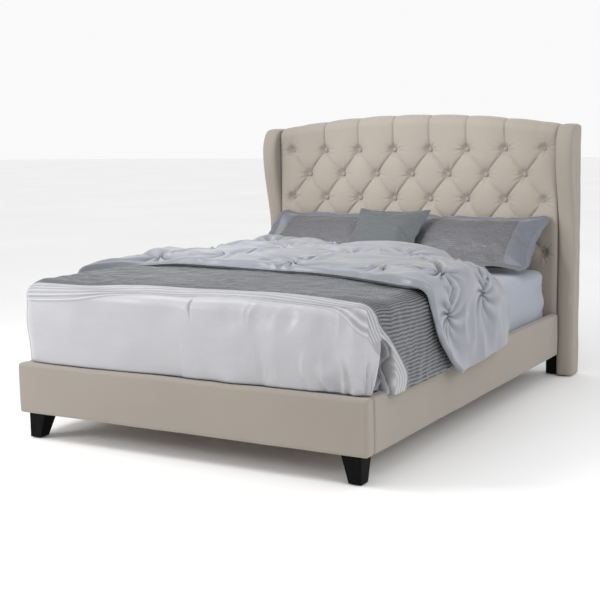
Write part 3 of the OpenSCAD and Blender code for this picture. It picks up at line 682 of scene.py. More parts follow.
def wing(side_name, side):
    low, high = corners(side_name + "_wing_cover")
    foot, waist, widest = WING_REACHES
    widest_z = high[2] - CROWN_H
    z = np.linspace(low[2], widest_z, 110)
    reach = np.where(
        z < WAIST_Z,
        foot + (waist - foot) * half_wave(z / WAIST_Z),
        waist + (widest - waist) * half_wave((z - WAIST_Z) / (widest_z - WAIST_Z)),
    )
    crown = np.linspace(0, math.pi / 2, 30)[1:]
    depth = widest + 0.030
    panel_y = panel_lo[1]
    edge_y = np.concatenate([panel_y - reach, panel_y - widest + depth * (1 - np.cos(crown))])
    edge_z = np.concatenate([z, widest_z + CROWN_H * np.sin(crown)])
    share = np.linspace(0, 1, len(edge_z))
    back_z = low[2] + (high[2] - low[2]) * np.clip(share * 1.22, 0, 1)
    back_z = np.minimum(back_z, edge_z + 0.02 + 0.12 * share)
    back_z[-1] = high[2]
    back_z = np.maximum.accumulate(np.minimum(back_z, high[2]))
    across = np.concatenate([np.linspace(0, 1, 13) ** 2 * 0.25,
                             np.linspace(0.25, 1, 27)[1:]])
    y = edge_y[:, None] + (high[1] - edge_y)[:, None] * across
    zz = edge_z[:, None] + (back_z - edge_z)[:, None] * across
    from_front = np.hypot(y - edge_y[:, None], (zz - edge_z[:, None]) * 0.4)
    from_top = high[2] - zz
    half, mid = (high[0] - low[0]) / 2, (high[0] + low[0]) / 2
    swell = edge_swell(from_front, NOSE, 2.6) * edge_swell(from_top, 0.016, 2.2)
    ripple = 0.0016 * fbm(y * 9, zz * 7, 31 + side) * edge_swell(from_front, 0.05)
    strip_y = high[1] - BACK_STRIP
    seam = 0.0028 * bump(y - strip_y, 0.0035)
    shallow = 0.0015 * ease((y - strip_y) / 0.004)
    half_out = np.maximum(half * swell - ripple - seam - shallow, 0.0006)
    half_in = np.maximum(half * swell, 0.0006)
    out = np.stack([mid + side * half_out, y, zz], -1).reshape(-1, 3)
    inside = np.stack([mid - side * half_in, y, zz], -1).reshape(-1, 3)
    quads = grid_quads(*y.shape)
    if side < 0:
        quads = quads[:, ::-1]
    points, quads = thickened(out, quads[:, ::-1], inside)
    piece = make(side_name + "_wing_upholstery", points, quads, [MATERIALS["linen"]],
                 "bed_frame")
    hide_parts(side_name + "_wing_cover", side_name + "_wing_foam")


# ---- Footboard and rails


def upholstered_board(name, node, radius):
    """A padded board: rounded edges, cloth a little hollow near them, soft ripples."""
    low, high = corners(node)
    flat, points, quads, normal = padded_block(low, high, radius, 0.012, radius * 2.2, radius / 5)
    run = flat[:, 0 if high[0] - low[0] > high[1] - low[1] else 1]
    edge = np.minimum(flat[:, 2] - low[2], high[2] - flat[:, 2])
    depth = 0.0008 * (ease(edge / 0.06) - 1 + fbm(run * 4, flat[:, 2] * 9, 51))
    points = points + normal * depth[:, None]
    piece = make(name, points, quads, [MATERIALS["linen"]], "bed_frame")
    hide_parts(node)


# ---- Mattress in its fitted sheet


def mattress():
    low, high = mattress_lo, mattress_hi
    _, points, quads, normal = padded_block(low, high, (0.06, 0.06, 0.045), 0.020, 0.09, 0.008)
    x, y, z = points.T
    head_corner = bump(y - high[1], 0.16) * bump(np.abs(x) - high[0], 0.12)
    pull = fbm((z + 0.6 * (high[1] - y)) * 22, x * 3, 75) * head_corner * 0.007
    side = 0.004 * fbm(y * 5, z * 16, 71) * ease((np.abs(normal[:, 0]) - 0.4) / 0.3)
    top = 0.004 * fbm(x * 4, y * 4, 73) * ease((normal[:, 2] - 0.4) / 0.3)
    points = points + normal * (pull + side + top - 0.004)[:, None]
    piece = make("mattress_in_sheet", points, quads, [MATERIALS["fitted_sheet"]],
                 "mattress_body")
    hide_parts("mattress")


# ---- Comforter

RIB_PITCH = 0.0140     # distance between the ribs of the crinkled band
RIB_H, CRUSH_H = 0.0030, 0.0022   # height of those ribs, and of the crush over them
TUCKS = 5              # pintucks beside the band
TUCK_PITCH = 0.0195    # distance between them
TUCK_H = 0.0040        # height of a pintuck
SHELL = 0.024          # thickness of the comforter where it hangs
HEM_COMFORTER = 0.309  # height of the comforter's hem outside the right-hand rail
TUCKED_IN = 0.026      # how far inside its drape the comforter is tucked at the foot
# Edge of the ribbed band: distance from the footboard's face at places across the bed,
# counted on down the right-hand side past its edge
BAND_EDGE = [(-1.15, 0.066), (-0.63, 0.068), (-0.48, 0.080), (-0.32, 0.115), (-0.19, 0.130),
             (0.0, 0.140), (0.15, 0.152), (0.34, 0.150), (0.50, 0.140), (0.66, 0.120),
             (0.80, 0.098), (0.88, 0.098), (0.95, 0.130), (1.02, 0.190), (1.07, 0.235),
             (1.12, 0.268), (1.18, 0.245)]
# Right-hand edge of the corner pocket: height, and distance from the footboard's face
POCKET_EDGE = [(0.31, 0.165), (0.36, 0.172), (0.42, 0.175), (0.47, 0.158), (0.53, 0.128)]
DRAPE_START = 0.115    # from the footboard's face, where the side starts to hang outside
FOOT_HANG = 0.332      # how far the comforter hangs down at the foot and at the left
TUCK_ROW = 0.62        # rows up to this one lie before the pintucks, and up to row 1 on them
POCKET_DEPTH = 0.050   # how far the pocket at the right-hand foot corner goes in


def comforter_rows(t, edge_y, low_y, high_y):
    """Where each row lies: before the pintucks, on them, and over the band."""
    tuck_start = np.maximum(edge_y - TUCKS * TUCK_PITCH, low_y + 0.012)
    before = low_y + (tuck_start - low_y) * t / TUCK_ROW
    tucked = tuck_start + (edge_y - tuck_start) * (t - TUCK_ROW) / (1 - TUCK_ROW)
    banded = edge_y + (high_y - edge_y) * (t - 1)
    return np.where(t < TUCK_ROW, before, np.where(t < 1, tucked, banded))


def foot_folds(x, z, drop, foot_face):
    """Folds, gathers and pinches of the end that hangs over the footboard."""
    hang = foot_face * ease((comforter_hi[2] - 0.04 - z) / 0.10)
    rightward = 0.12 + 0.88 * ease((x + 0.35) / 0.9)
    broad = value_noise(x * 9 + 0.5 * fbm(x * 3, z * 4, 86), z * 1.2, 87)
    gathers = np.abs(value_noise(x * 26 + 0.9 * fbm(x * 5, z * 5, 89), z * 2.2, 90))
    gathers = gathers * ease((0.50 - z) / 0.16) * ease((x - 0.22) / 0.40)
    under_tucks = bump(z - 0.575, 0.045) * ease((x - 0.12) / 0.25)
    pinches = np.abs(value_noise(x * 22 + 0.6 * fbm(x * 6, z * 6, 99), z * 3.0, 94))
    diagonal = fbm(x * 4.5 + z * 3, z * 6 - x * 2, 92, 2)
    bulge = np.sin(np.pi * np.clip(drop / 0.335, 0, 1))
    crease = bump(x - 0.05 - 0.006 * np.sin(z * 60), 0.005) * bump(z - 0.60, 0.035)
    hem = ease((0.022 - (z - z.min())) / 0.02)
    return (hang * (0.018 * broad * rightward - 0.017 * gathers)
            + foot_face * (0.0055 * diagonal + 0.006 * bulge - 0.009 * pinches * under_tucks
                           - 0.008 * crease - 0.007 * hem))


def draped(points, left, foot, right, top, radius):
    """The points on a cover with rounded edges, which is open below and at the head."""
    level = np.zeros(len(points))
    open_y = comforter_hi[1] + 1
    lows = np.stack([level + left, level + foot, level], -1)
    highs = np.stack([right, level + open_y, level + top], -1)
    return rounded(points, lows, highs, radius)


def band_relief(u, y, z, edge_y, side_r):
    """Height of the crinkled band, and its ribs alone from -1 to 1."""
    wander = 1.9 * fbm(u * 2.5, y * 9, 81) + 1.1 * fbm(u * 14, y * 30, 82)
    ribs = np.cos(u * 2 * math.pi / RIB_PITCH + wander)
    lower = side_r * ease((0.46 - z) / 0.10)
    near_tucks = bump(y - edge_y, 0.09) * (1 - side_r)
    strength = RIB_H * (0.75 + 0.35 * fbm(u * 9, y * 11, 83)) * (1 - 0.6 * lower)
    crush = CRUSH_H * fbm(u * 22, y * 34, 84, 2) * (1 + lower)
    return strength * (1 + 0.9 * near_tucks) * ribs + crush, ribs


def comforter():
    low, high = comforter_lo, comforter_hi
    tucked_x = high[0] - TUCKED_IN
    xs = fine_near_ends(low[0], high[0], 0.0028, 0.05, 0.0028)
    zs = fine_near_ends(high[2] - FOOT_HANG, high[2], 0.0027, 0.05, 0.0027)
    ts = np.concatenate([np.linspace(0, TUCK_ROW, 36)[:-1], np.linspace(TUCK_ROW, 1, 30)[:-1],
                         np.linspace(1, 2, 62)])
    ijk, quads = box_lattice(xs, ts, zs, open_sides=((1, 1), (2, 0)))
    x, t, z = xs[ijk[:, 0]], ts[ijk[:, 1]], zs[ijk[:, 2]]
    drop = high[2] - z
    u = x + np.where(x > 0, drop, -drop)
    edge_y = foot_y + curve_through(BAND_EDGE, u)
    y = comforter_rows(t, edge_y, low[1], high[1])
    from_foot = y - foot_y
    outside = ease((from_foot - DRAPE_START) / 0.05)
    right_x = tucked_x + (high[0] - tucked_x) * outside
    x_out = np.where(x > 0, x * right_x / high[0], x)
    longer = (high[2] - FOOT_HANG - HEM_COMFORTER) * outside * (x > 0.6)
    z = high[2] - drop * (FOOT_HANG + longer) / FOOT_HANG

    outer = draped(np.stack([x_out, y, z], -1), low[0], low[1], right_x, high[2],
                   (0.075, 0.070, 0.065))
    normal = vertex_normals(outer, quads)

    side_r = ease((normal[:, 0] - 0.3) / 0.4)
    foot_face = ease((-normal[:, 1] - 0.25) / 0.4)
    band = ease((t - 1) / 0.03)
    relief, ribs = band_relief(u, y, z, edge_y, side_r)
    height = band * relief
    # pintucks: on the foot face they run on over the rounded edge, and round the right corner
    face_edge = foot_y + curve_through(BAND_EDGE, x)
    corner_share = ease((x - high[0] + 0.20) / 0.20)
    corner_edge = foot_y + curve_through(BAND_EDGE, high[0] + drop)
    face_tuck = (face_edge - low[1] + drop) * (1 - corner_share)
    face_tuck = face_tuck + (corner_edge - low[1]) * corner_share
    tuck = np.where(t == 0, face_tuck, edge_y - y) / TUCK_PITCH
    in_tucks = ease((tuck - 0.1) / 0.3) * ease((TUCKS + 0.6 - tuck) / 0.6) * (t < 1)
    ridge = in_tucks * bump(tuck - np.round(tuck), 0.22)
    down = np.clip((0.52 - z) / 0.20, 0, 1)
    left_lip = 0.122 - 0.055 * down
    right_lip = curve_through(POCKET_EDGE, z)
    past_pocket = ease((from_foot - right_lip + 0.006) / 0.006)
    ridge = ridge * (1 - ease(down / 0.08) * (1 - past_pocket) * (x > 0.5) * (t > 0))
    height = height + TUCK_H * ridge - 0.0015 * bump(tuck, 0.3)
    # soft swell of the filling, and the folds of the hanging foot end
    height = height + 0.009 * fbm(u * 2.6 + 3, y * 2.6, 85, 2) * (1 - 0.6 * band)
    height = height + foot_folds(x, z, drop, foot_face)
    # the pocket at the right-hand corner, where foot end and side drape part
    pocket = (ease((from_foot - left_lip) / 0.006) * ease((right_lip - from_foot) / 0.012)
              * ease(down / 0.12) * (x > 0.5))
    pleats = 0.25 * np.cos((from_foot - 0.3 * (z - 0.3)) * 2 * math.pi / 0.022)
    height = height - POCKET_DEPTH * pocket * (1 + pleats * down)
    lip_roll = bump(from_foot - left_lip + 0.007, 0.008) * ease(down / 0.15) * (x > 0.5)
    height = height + 0.007 * lip_roll
    drape = side_r * ease((high[2] - 0.07 - z) / 0.1) * ease((from_foot - 0.2) / 0.1)
    free = ease((foot_y + 0.75 - y) / 0.1)
    height = height + drape * free * 0.0035 * value_noise(y * 10, z * 2.0, 88)
    outer = outer + normal * height[:, None]

    # inner side: the same net drawn over a smaller box, which the mattress fills
    left_in, foot_in, top_in = low[0] + SHELL, low[1] + SHELL, mattress_hi[2] + 0.003
    right_in = right_x - 0.0175
    x_in = left_in + (right_in - left_in) * (x - low[0]) / (high[0] - low[0])
    z_in = np.where(drop < 1e-6, top_in, np.minimum(z, top_in))
    inner = draped(np.stack([x_in, np.maximum(y, foot_in), z_in], -1), left_in, foot_in,
                   right_in, top_in, 0.012)
    inner = inner - normal * (POCKET_DEPTH * pocket)[:, None]
    points, all_quads = thickened(outer, quads, inner)
    which = np.zeros(len(all_quads), int)
    which[:len(quads)] = t[quads].mean(1) > 1
    uv = np.stack([u, y - foot_face * (high[2] - z)], -1)
    # painted shade and highlight: band ribs and pintucks darker in their valleys and lighter on their
    # ridges
    crest = np.where(t > 1.0, 0.5 + 0.5 * ribs, 0.62 - 0.30 * in_tucks + 0.5 * ridge)
    # painted shade: the corner pocket is given the darkest crest tone
    crest = crest * (1 - pocket)
    piece = make("comforter_cover", points, all_quads,
                 [MATERIALS["satin_comforter"], MATERIALS["comforter_band"]],
                 "comforter_body", uv=np.concatenate([uv, uv]), which=which,
                 crest=np.concatenate([crest, crest * 0 + 0.5]))
    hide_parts("comforter")


# ---- Quilt

STAR_PUFF = 0.024      # rise of the cloth from a star to the full puffs between
RAY_H = 0.0190         # height of the gathers that run out from a star
DIMPLE = 0.030         # depth of the dimple in a star's middle
FOLD_DEPTH = 0.020     # depth of the fold between two stars
PUFF_H = 0.017         # height of the quilt's fullest puffs over its flat top
QUILT_T = 0.044        # thickness of the quilt where it lies on the comforter
DRAPE_T = 0.0175       # thickness of the quilt where it hangs
EDGE_T = 0.024         # thickness of the quilt at its foot edge
LEFT_T = 0.035         # thickness of the quilt at its left edge
# The quilt's foot edge: distance from the footboard's face at places across the bed,
# counted on down the right-hand side past the bed's edge
QUILT_FOOT = [(-0.81, 0.36), (-0.77, 0.50), (-0.71, 0.63), (-0.60, 0.70), (-0.30, 0.715),
              (0.0, 0.67), (0.30, 0.64), (0.50, 0.56), (0.64, 0.49), (0.78, 0.42),
              (0.90, 0.435), (1.02, 0.48), (1.12, 0.52), (1.20, 0.60), (1.30, 0.74)]
QUILT_HEAD = [(-0.81, 1.71), (-0.42, 1.70), (-0.24, 1.63), (0.30, 1.62), (0.45, 1.54),
              (0.62, 1.42), (0.75, 1.35), (0.86, 1.325), (1.05, 1.32), (1.30, 1.275)]
# Pinch-pleat stars: place across the bed and distance from the footboard's face
STARS = np.array([
    (-0.66, 0.80), (-0.33, 0.89), (0.09, 0.765), (0.53, 0.70), (0.81, 0.655), (1.03, 0.62),
    (-0.64, 1.20), (-0.24, 1.25), (0.13, 1.18), (0.39, 1.31), (0.99, 1.00), (-0.50, 1.54),
    (-0.12, 1.53), (0.66, 1.10)])
# Which stars a fold runs between
FOLDS = [(0, 1), (1, 2), (2, 3), (3, 4), (4, 5), (4, 9), (0, 6), (1, 7), (7, 8), (8, 9),
         (6, 7), (9, 10), (6, 11), (7, 12), (11, 12), (2, 8), (10, 13), (9, 13)]
# The quilt's hem: height at distances from the footboard's face
HEM_Z = [(0.50, 0.30), (0.80, 0.284), (1.0, 0.288), (1.30, 0.307)]


def star_field(u, y):
    """Height of the pinched quilt, dimples with rays, valleys between and full puffs,
    and the part of it that comes from the dimples, rays and valleys alone."""
    r0, angle, which = nearest_of(STARS, u, y)
    swirl = angle + 0.5 * np.sin(which * 2.3) * r0 / 0.1
    rays = np.cos(swirl * (8 + which % 3) + which) + 0.45 * np.cos(swirl * 5 - which * 2)
    broad = STAR_PUFF * (1 - bump(r0, 0.11))
    fine = RAY_H * rays * np.exp(-r0 / 0.058) * (1 - bump(r0, 0.008))
    fine = fine - DIMPLE * bump(r0, 0.020)
    for a, b in FOLDS:
        start, run = STARS[a], STARS[b] - STARS[a]
        length = np.hypot(*run)
        along = ((u - start[0]) * run[0] + (y - start[1]) * run[1]) / length**2
        bow = 0.030 * np.sin(a * 1.9 + b) * np.sin(np.pi * np.clip(along, 0, 1))
        off = ((u - start[0]) * run[1] - (y - start[1]) * run[0]) / length + bow
        inside = ease(along / 0.08) * ease((1 - along) / 0.08)
        depth = FOLD_DEPTH * (1 - 0.5 * np.sin(np.pi * np.clip(along, 0, 1)))
        fine = fine - depth * bump(off, 0.010) * inside
        fine = fine + 0.60 * depth * bump(off - 0.022, 0.013) * inside
    return broad + fine, fine


def quilt():
    low, high = corners("quilt")
    x_out, z_top = high[0], high[2] - PUFF_H
    hang = z_top - min(height for _, height in HEM_Z)
    us = np.concatenate([low[0] + np.linspace(0, 0.06, 16)[:-1],
                         np.linspace(low[0] + 0.06, x_out + hang - 0.04, 480),
                         x_out + hang - 0.04 + np.linspace(0, 0.04, 12)[1:]])
    vs = np.concatenate([np.linspace(0, 0.06, 14)[:-1], np.linspace(0.06, 0.94, 200),
                         np.linspace(0.94, 1, 14)[1:]])
    u, v = np.meshgrid(us, vs, indexing="ij")
    foot, head = curve_through(QUILT_FOOT, u), curve_through(QUILT_HEAD, u)
    from_foot = foot + (head - foot) * v
    y = foot_y + from_foot
    hem_drop = z_top - curve_through(HEM_Z, from_foot)
    drop = np.maximum(u - x_out, 0) * hem_drop / hang
    # the corner of the bed: close over the comforter, and a broad slope at the head end
    headward = ease((from_foot - 0.95) / 0.45)
    round_w = 0.088 + 0.36 * headward
    round_h = 0.085 + 0.190 * headward
    edge_x = x_out - 0.014 * headward
    x_flat = np.minimum(u, edge_x)
    slope = 0.035 * headward * ease((u - 0.10) / 0.5)
    low_left = 0.022 * ease((0.95 - from_foot) / 0.5) * ease((-0.45 - u) / 0.3)
    z_flat = z_top - drop - (slope + low_left) * (drop <= 0)
    dx = np.maximum(x_flat - (edge_x - round_w), 0) / round_w
    dz = np.clip((z_flat - (z_top - round_h)) / round_h, 0, 1)
    corner = (dx > 0) & (dz > 0)
    size = np.maximum(np.hypot(dx, dz), 1e-9)
    pull = np.where(corner, np.maximum(dx, dz) / size, 1)
    x = np.where(corner, edge_x - round_w + round_w * dx * pull, x_flat)
    z = np.where(corner, z_top - round_h + round_h * dz * pull, z_flat)
    base = np.stack([x, y, z], -1)
    quads = grid_quads(*u.shape)
    normal = vertex_normals(base.reshape(-1, 3), quads).reshape(base.shape)
    top = np.clip(normal[..., 2], 0, 1) ** 3
    side = 1 - ease(normal[..., 2] / 0.6)
    on_mattress = ease((y - comforter_hi[1] + 0.03) / 0.06)
    full = QUILT_T + (z_top - mattress_hi[2] - 0.004 - QUILT_T) * on_mattress
    thick = DRAPE_T + (full - DRAPE_T) * top

    d_foot, d_head = from_foot - foot, head - from_foot
    d_left, d_hem = u - low[0], us[-1] - u
    # the filling thins out towards the foot edge, and towards the left edge past the comforter
    sink = (QUILT_T - EDGE_T) * (1 - ease(d_foot / 0.12)) * top
    sink = sink + (full - LEFT_T) * on_mattress * (1 - ease(d_left / 0.20)) * top
    thick = thick - sink
    base = base - normal * sink[..., None]
    swell = (edge_swell(d_foot, 0.030) * edge_swell(d_head, 0.035)
             * edge_swell(d_left, 0.035) * edge_swell(d_hem, 0.016))
    swell = np.maximum(swell, 0.05)
    calm = ease(np.minimum(np.minimum(d_foot, d_head), d_hem) / 0.02)
    field, fine = star_field(u, from_foot)
    long_folds = fbm(u * 3.0, from_foot * 6.0, 91, 2) * 0.0080
    warp_u = u + 0.10 * fbm(u * 3, from_foot * 3, 95)
    creases = np.abs(fbm(warp_u * 4, from_foot * 11, 93, 1)) * 0.009
    height = field - 0.009 + long_folds - creases
    hang_amount = side * ease((z_top - 0.07 - z) / 0.25)
    pleat = value_noise(from_foot * 9 + 0.4 * z, z * 1.5, 97)
    height = height * (1 - 0.3 * side) + hang_amount * (0.013 * pleat + 0.008)
    flare = 0.022 * bump(d_foot, 0.07) * hang_amount
    lift = 0.004 * bump(d_foot, 0.05) * top
    mid = base - normal * (thick / 2)[..., None]
    outer = mid + normal * ((thick / 2) * swell + (height + lift) * calm + flare)[..., None]
    inner = mid - normal * ((thick / 2) * swell - flare * 0.9)[..., None]
    inner = inner + normal * (0.10 * thick * bump(d_foot, 0.02) * top)[..., None]
    points, all_quads = thickened(outer.reshape(-1, 3), quads, inner.reshape(-1, 3))
    uv = np.stack([u, from_foot], -1).reshape(-1, 2)
    # painted shade in the dimples, rays and folds and painted highlight on their ridges, through the crest
    # attribute
    piece = make("pinch_pleat_quilt", points, all_quads, [MATERIALS["satin_quilt"]],
                 "quilt_body", uv=np.concatenate([uv, uv]),
                 crest=np.tile(np.clip(0.62 + fine / 0.022, 0, 1).reshape(-1), 2))
    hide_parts("quilt")


# ---- Pillows

# Length, width and thickness of a pillow, and degrees that it leans back from lying flat
SHAM_SIZE, SHAM_LEAN = (0.76, 0.43, 0.125), 34
CUSHION_SIZE, CUSHION_LEAN = (0.40, 0.40, 0.11), 42
PILLOW_RIB = 0.0105    # distance between the ribs of a sham's middle
CUSHION_RIB = 0.010    # distance between the cushion's ribs
FLANGE_W = 0.026       # width of a sham's flange
PLAIN_END = 0.135      # width of a sham's plain cloth at each end, flange included
PLAN_KEPT = 0.72       # share of the flat bag's outline that a filled pillow keeps
BAG_SEAM, BAG_CROWN = 0.0012, 0.012   # half the empty bag's thickness: at its seam, and more inside


def blown_up(points, quads, pressure, frames=16):
    """Where a sewn cloth bag's points go when the cloth simulation fills it."""
    mesh = bpy.data.meshes.new("bag")
    mesh.from_pydata(points.tolist(), [], quads.tolist())
    bag = bpy.data.objects.new("bag", mesh)
    bpy.context.scene.collection.objects.link(bag)
    cloth = bag.modifiers.new("Cloth", "CLOTH")
    cloth.point_cache.frame_end = frames
    settings = cloth.settings
    settings.quality = 5
    settings.mass = 0.15
    settings.tension_stiffness = 12
    settings.compression_stiffness = 12
    settings.shear_stiffness = 4
    settings.bending_stiffness = 0.35
    settings.use_pressure = True
    settings.uniform_pressure_force = pressure
    settings.effector_weights.gravity = 0
    for number in range(1, frames + 1):
        bpy.context.scene.frame_set(number)
    seen = bag.evaluated_get(bpy.context.evaluated_depsgraph_get()).to_mesh()
    moved = np.zeros(len(points) * 3, np.float32)
    seen.vertices.foreach_get("co", moved)
    bpy.data.objects.remove(bag)
    bpy.data.meshes.remove(mesh)
    bpy.context.scene.frame_set(1)
    return moved.reshape(-1, 3).astype(float)


def twice_as_fine(grid):
    """A grid of points with new points half way, on smooth curves through the old."""
    for axis in (0, 1):
        g = np.moveaxis(grid, axis, 0)
        padded = np.concatenate([2 * g[:1] - g[1:2], g, 2 * g[-1:] - g[-2:-1]])
        between = (9 * (padded[1:-2] + padded[2:-1]) - padded[:-3] - padded[3:]) / 16
        out = np.empty((2 * len(g) - 1, *g.shape[1:]))
        out[::2], out[1::2] = g, between
        grid = np.moveaxis(out, 0, axis)
    return grid


def pillow_layers(length, width, thick, step, seed):
    """Front and back grids of a filled pillow lying on its middle, and their flat places."""
    nx, ny = int(length / step) + 1, int(width / step) + 1
    a, b = np.meshgrid(np.linspace(-1, 1, nx), np.linspace(-1, 1, ny), indexing="ij")
    x, y = a * length / 2, b * width / 2
    crown = ((1 - a**2) * (1 - b**2)) ** 0.5
    start = BAG_SEAM + BAG_CROWN * crown * (1 + 0.05 * fbm(x * 14, y * 14, seed))
    points, quads = thickened(np.stack([x, y, start], -1).reshape(-1, 3), grid_quads(nx, ny),
                              np.stack([x, y, -start], -1).reshape(-1, 3))
    moved = blown_up(points, quads, 4.5)
    moved[:, :2] += PLAN_KEPT * (points[:, :2] - moved[:, :2])
    moved *= np.array([length, width, thick]) / np.ptp(moved, 0)
    moved -= (moved.max(0) + moved.min(0)) / 2
    front, back = moved.reshape(2, nx, ny, 3)
    return twice_as_fine(front), twice_as_fine(back), twice_as_fine(np.stack([x, y], -1))


def leaned(points, centre, lean):
    """Points of a flat pillow tipped up about its middle and put in place."""
    c, s = math.cos(math.radians(lean)), math.sin(math.radians(lean))
    x, y, z = points.T
    return centre + np.stack([x, y * c - z * s, y * s + z * c], -1)


def flange(front, reach, seed):
    """A ruffled strip round a pillow's seam, as (points, quads, uv)."""
    ring = np.concatenate([front[:-1, 0], front[-1, :-1], front[:0:-1, -1], front[0, :0:-1]])
    n = len(ring)
    ahead, behind = np.roll(ring, -1, 0), np.roll(ring, 1, 0)
    along = ahead - behind
    out = np.stack([along[:, 1], -along[:, 0], np.zeros(n)], -1)
    out /= np.linalg.norm(out, axis=1, keepdims=True)
    kernel = np.ones(5) / 5
    for axis in range(2):
        wrapped = np.concatenate([out[-2:, axis], out[:, axis], out[:2, axis]])
        out[:, axis] = np.convolve(wrapped, kernel, "valid")
    run = np.concatenate([[0], np.cumsum(np.linalg.norm(ahead - ring, axis=1))[:-1]])
    rows = np.linspace(-0.12, 1, 7)
    wave = (value_noise(run * 30, run * 0, seed) * 0.004
            + value_noise(run * 7, run * 0, seed + 1) * 0.005)
    layers = []
    for side in (1, -1):
        for share in rows:
            half = 0.0014 * (1.15 - max(share, 0)) * side
            offset = out * (reach * share)
            lift = wave * max(share, 0) ** 1.4 + half
            layers.append(ring * [1, 1, 0] + ring[:, 2:3] * [0, 0, 1] * 0.5 + offset
                          + np.stack([run * 0, run * 0, lift], -1))
    # up the front of the strip and back down behind it
    layers[len(rows):] = layers[:len(rows) - 1:-1]
    quads = loop_quads(len(layers), n, both_ways=True)
    both = np.concatenate([rows, rows[::-1]]) * reach
    uv = np.stack([np.tile(run, len(layers)), np.repeat(both, n)], -1)
    return np.stack(layers).reshape(-1, 3), quads, uv


def sham(side_name, side):
    length, width, thick = SHAM_SIZE
    low, high = corners(side_name + "_sham")
    centre = (low + high) / 2
    bag_length, bag_width = length - 2 * FLANGE_W, width - 2 * FLANGE_W
    front, back, uv = pillow_layers(bag_length, bag_width, thick, 0.0105, 101)
    u, v = uv[..., 0], uv[..., 1]
    border = length / 2 - PLAIN_END
    middle = ease((border - np.abs(u)) / 0.006)
    rib = np.cos(v * 2 * math.pi / PILLOW_RIB + 1.6 * fbm(u * 7, v * 22, 111 + side))
    relief = middle * (0.0011 * rib + 0.0016 * fbm(u * 24, v * 40, 113, 2))
    stitch = -0.0026 * bump(np.abs(u) - border, 0.0035)
    from_seam = np.minimum(bag_length / 2 - np.abs(u), bag_width / 2 - np.abs(v))
    sag = 0.006 * fbm(u * 7 + side, v * 8, 115 + side, 2) * edge_swell(from_seam, 0.06)
    front[..., 2] += relief + stitch + sag
    back[..., 2] -= relief + stitch
    quads = grid_quads(*u.shape)
    points, all_quads = thickened(front.reshape(-1, 3), quads, back.reshape(-1, 3))
    in_centre = np.abs(u.reshape(-1)[quads].mean(1)) < border
    which = np.zeros(len(all_quads), int)
    which[:2 * len(quads)] = np.tile(in_centre, 2)
    flat_uv = np.tile(uv.reshape(-1, 2), (2, 1))
    strip, strip_quads, strip_uv = flange(front, FLANGE_W, 121 + side)
    all_quads = np.concatenate([all_quads, strip_quads + len(points)])
    which = np.concatenate([which, np.zeros(len(strip_quads), int)])
    # painted shade in the rib valleys and painted highlight on the rib crests of the sham's middle
    crest = np.concatenate([np.tile((0.5 + 0.5 * rib).reshape(-1), 2),
                            np.full(len(strip), 0.5)])
    points = leaned(np.concatenate([points, strip]), centre, SHAM_LEAN)
    piece = make(side_name + "_sham_pillow", points, all_quads,
                 [MATERIALS["sham_flange"], MATERIALS["sham_centre"]],
                 side_name + "_sham_body", uv=np.concatenate([flat_uv, strip_uv]),
                 which=which, crest=crest)
    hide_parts(side_name + "_sham")


def cushion():
    length, width, thick = CUSHION_SIZE
    low, high = corners("cushion")
    front, back, uv = pillow_layers(length, width, thick, 0.010, 131)
    u, v = uv[..., 0], uv[..., 1]
    rib = np.cos(v * 2 * math.pi / CUSHION_RIB + 2.2 * fbm(u * 9, v * 30, 133))
    front[..., 2] += 0.0008 * rib + 0.0012 * fbm(u * 16, v * 50, 135, 2)
    points, quads = thickened(front.reshape(-1, 3), grid_quads(*u.shape),
                              back.reshape(-1, 3))
    points = leaned(points, (low + high) / 2, CUSHION_LEAN)
    # painted shade in the rib valleys and painted highlight on the rib crests, through the crest attribute
    piece = make("accent_cushion", points, quads, [MATERIALS["cushion_cloth"]],
                 "cushion_body", uv=np.tile(uv.reshape(-1, 2), (2, 1)),
                 crest=np.tile((0.5 + 0.5 * rib).reshape(-1), 2))
    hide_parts("cushion")


# ---- Camera, light and floor

CAMERA_AT = Vector((2.64, -4.7225, 1.26))
CAMERA_YAW, CAMERA_PITCH, CAMERA_ROLL = 30.11, 8.21, -1.05
FOCAL_LENGTH = 71.1
FLOOR_REACH = 40


def camera():
    yaw, pitch, roll = (math.radians(a) for a in (CAMERA_YAW, CAMERA_PITCH, CAMERA_ROLL))
    forward = Vector((-math.sin(yaw) * math.cos(pitch), math.cos(yaw) * math.cos(pitch),
                      -math.sin(pitch)))
    right = Vector((math.cos(yaw), math.sin(yaw), 0))
    up = right.cross(forward)
    turned_right = right * math.cos(roll) + up * math.sin(roll)
    turned_up = up * math.cos(roll) - right * math.sin(roll)
    data = bpy.data.cameras.new("photo_camera")
    data.lens, data.sensor_width = FOCAL_LENGTH, 36
    data.clip_end = 60
    eye = bpy.data.objects.new("photo_camera", data)
    turn = Matrix((turned_right, turned_up, -forward)).transposed()
    eye.matrix_world = Matrix.Translation(CAMERA_AT) @ turn.to_4x4()
    bpy.context.scene.collection.objects.link(eye)
    bpy.context.scene.camera = eye


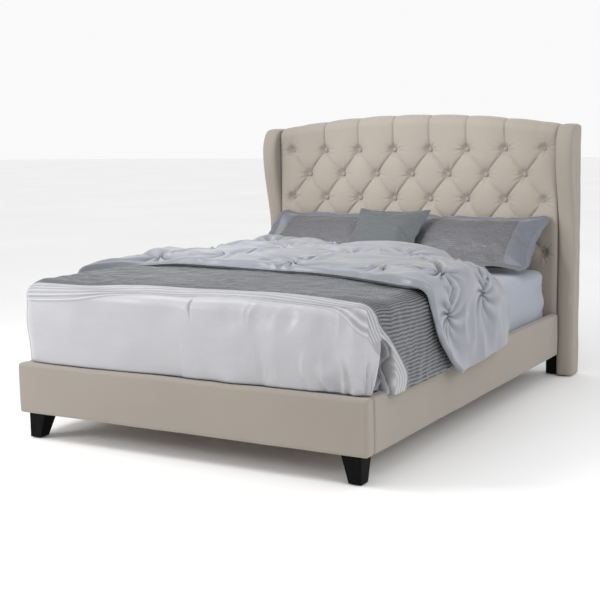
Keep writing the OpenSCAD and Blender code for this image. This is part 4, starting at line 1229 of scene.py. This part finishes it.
def lamp(name, kind, at, aim, power, **settings):
    data = bpy.data.lights.new(name, kind)
    data.energy = power
    for key, value in settings.items():
        setattr(data, key, value)
    holder = bpy.data.objects.new(name, data)
    holder.location = at
    holder.rotation_euler = (Vector(aim) - Vector(at)).to_track_quat("-Z", "Y").to_euler()
    bpy.context.scene.collection.objects.link(holder)


def studio():
    world = bpy.data.worlds.new("studio")
    world.use_nodes = True
    background = world.node_tree.nodes["Background"]
    background.inputs["Color"].default_value = (1.0, 1.0, 1.0, 1)
    background.inputs["Strength"].default_value = 0.95
    bpy.context.scene.world = world
    bpy.context.scene.view_settings.view_transform = "Standard"
    lamp("key", "AREA", (-1.5, -1.7, 2.9), (0.1, 0.5, 0.6), 34, shape="DISK", size=1.2)
    lamp("left", "AREA", (-2.6, -2.9, 1.4), (-0.5, -1.0, 0.5), 30, shape="DISK", size=0.8)
    lamp("side", "AREA", (3.4, -1.6, 2.0), (0.6, 0, 0.3), 24, shape="DISK", size=1.4)
    lamp("headboard", "SPOT", (-0.9, -3.4, 2.5), (0.05, 1.05, 0.93), 620,
         spot_size=math.radians(25), spot_blend=0.9, shadow_soft_size=0.35)
    floor_z = cad_box[0][2] - 0.0005
    points = [(x * FLOOR_REACH, y * FLOOR_REACH, floor_z) for x, y in ((-1, -1), (1, -1), (1, 1), (-1, 1))]
    mesh = bpy.data.meshes.new("floor")
    mesh.from_pydata(points, [], [(0, 1, 2, 3)])
    floor = bpy.data.objects.new("floor", mesh)
    s = Shader("studio_floor", Roughness=0.9)
    s.colour(s.ramp(s.noise(s.place(), 0.6), (0.3, (0.90, 0.90, 0.90)), (0.7, (0.93, 0.93, 0.93))))
    mesh.materials.append(s.material)
    bpy.context.scene.collection.objects.link(floor)


# ---- Everything

camera()
studio()
finish_nodes()
headboard_panel()
covered_buttons()
wing("left", -1)
wing("right", 1)
upholstered_board("footboard_upholstery", "footboard_cover", 0.014)
upholstered_board("left_rail_upholstery", "left_rail_cover", 0.012)
upholstered_board("right_rail_upholstery", "right_rail_cover", 0.012)
mattress()
comforter()
quilt()
sham("left", -1)
sham("right", 1)
cushion()
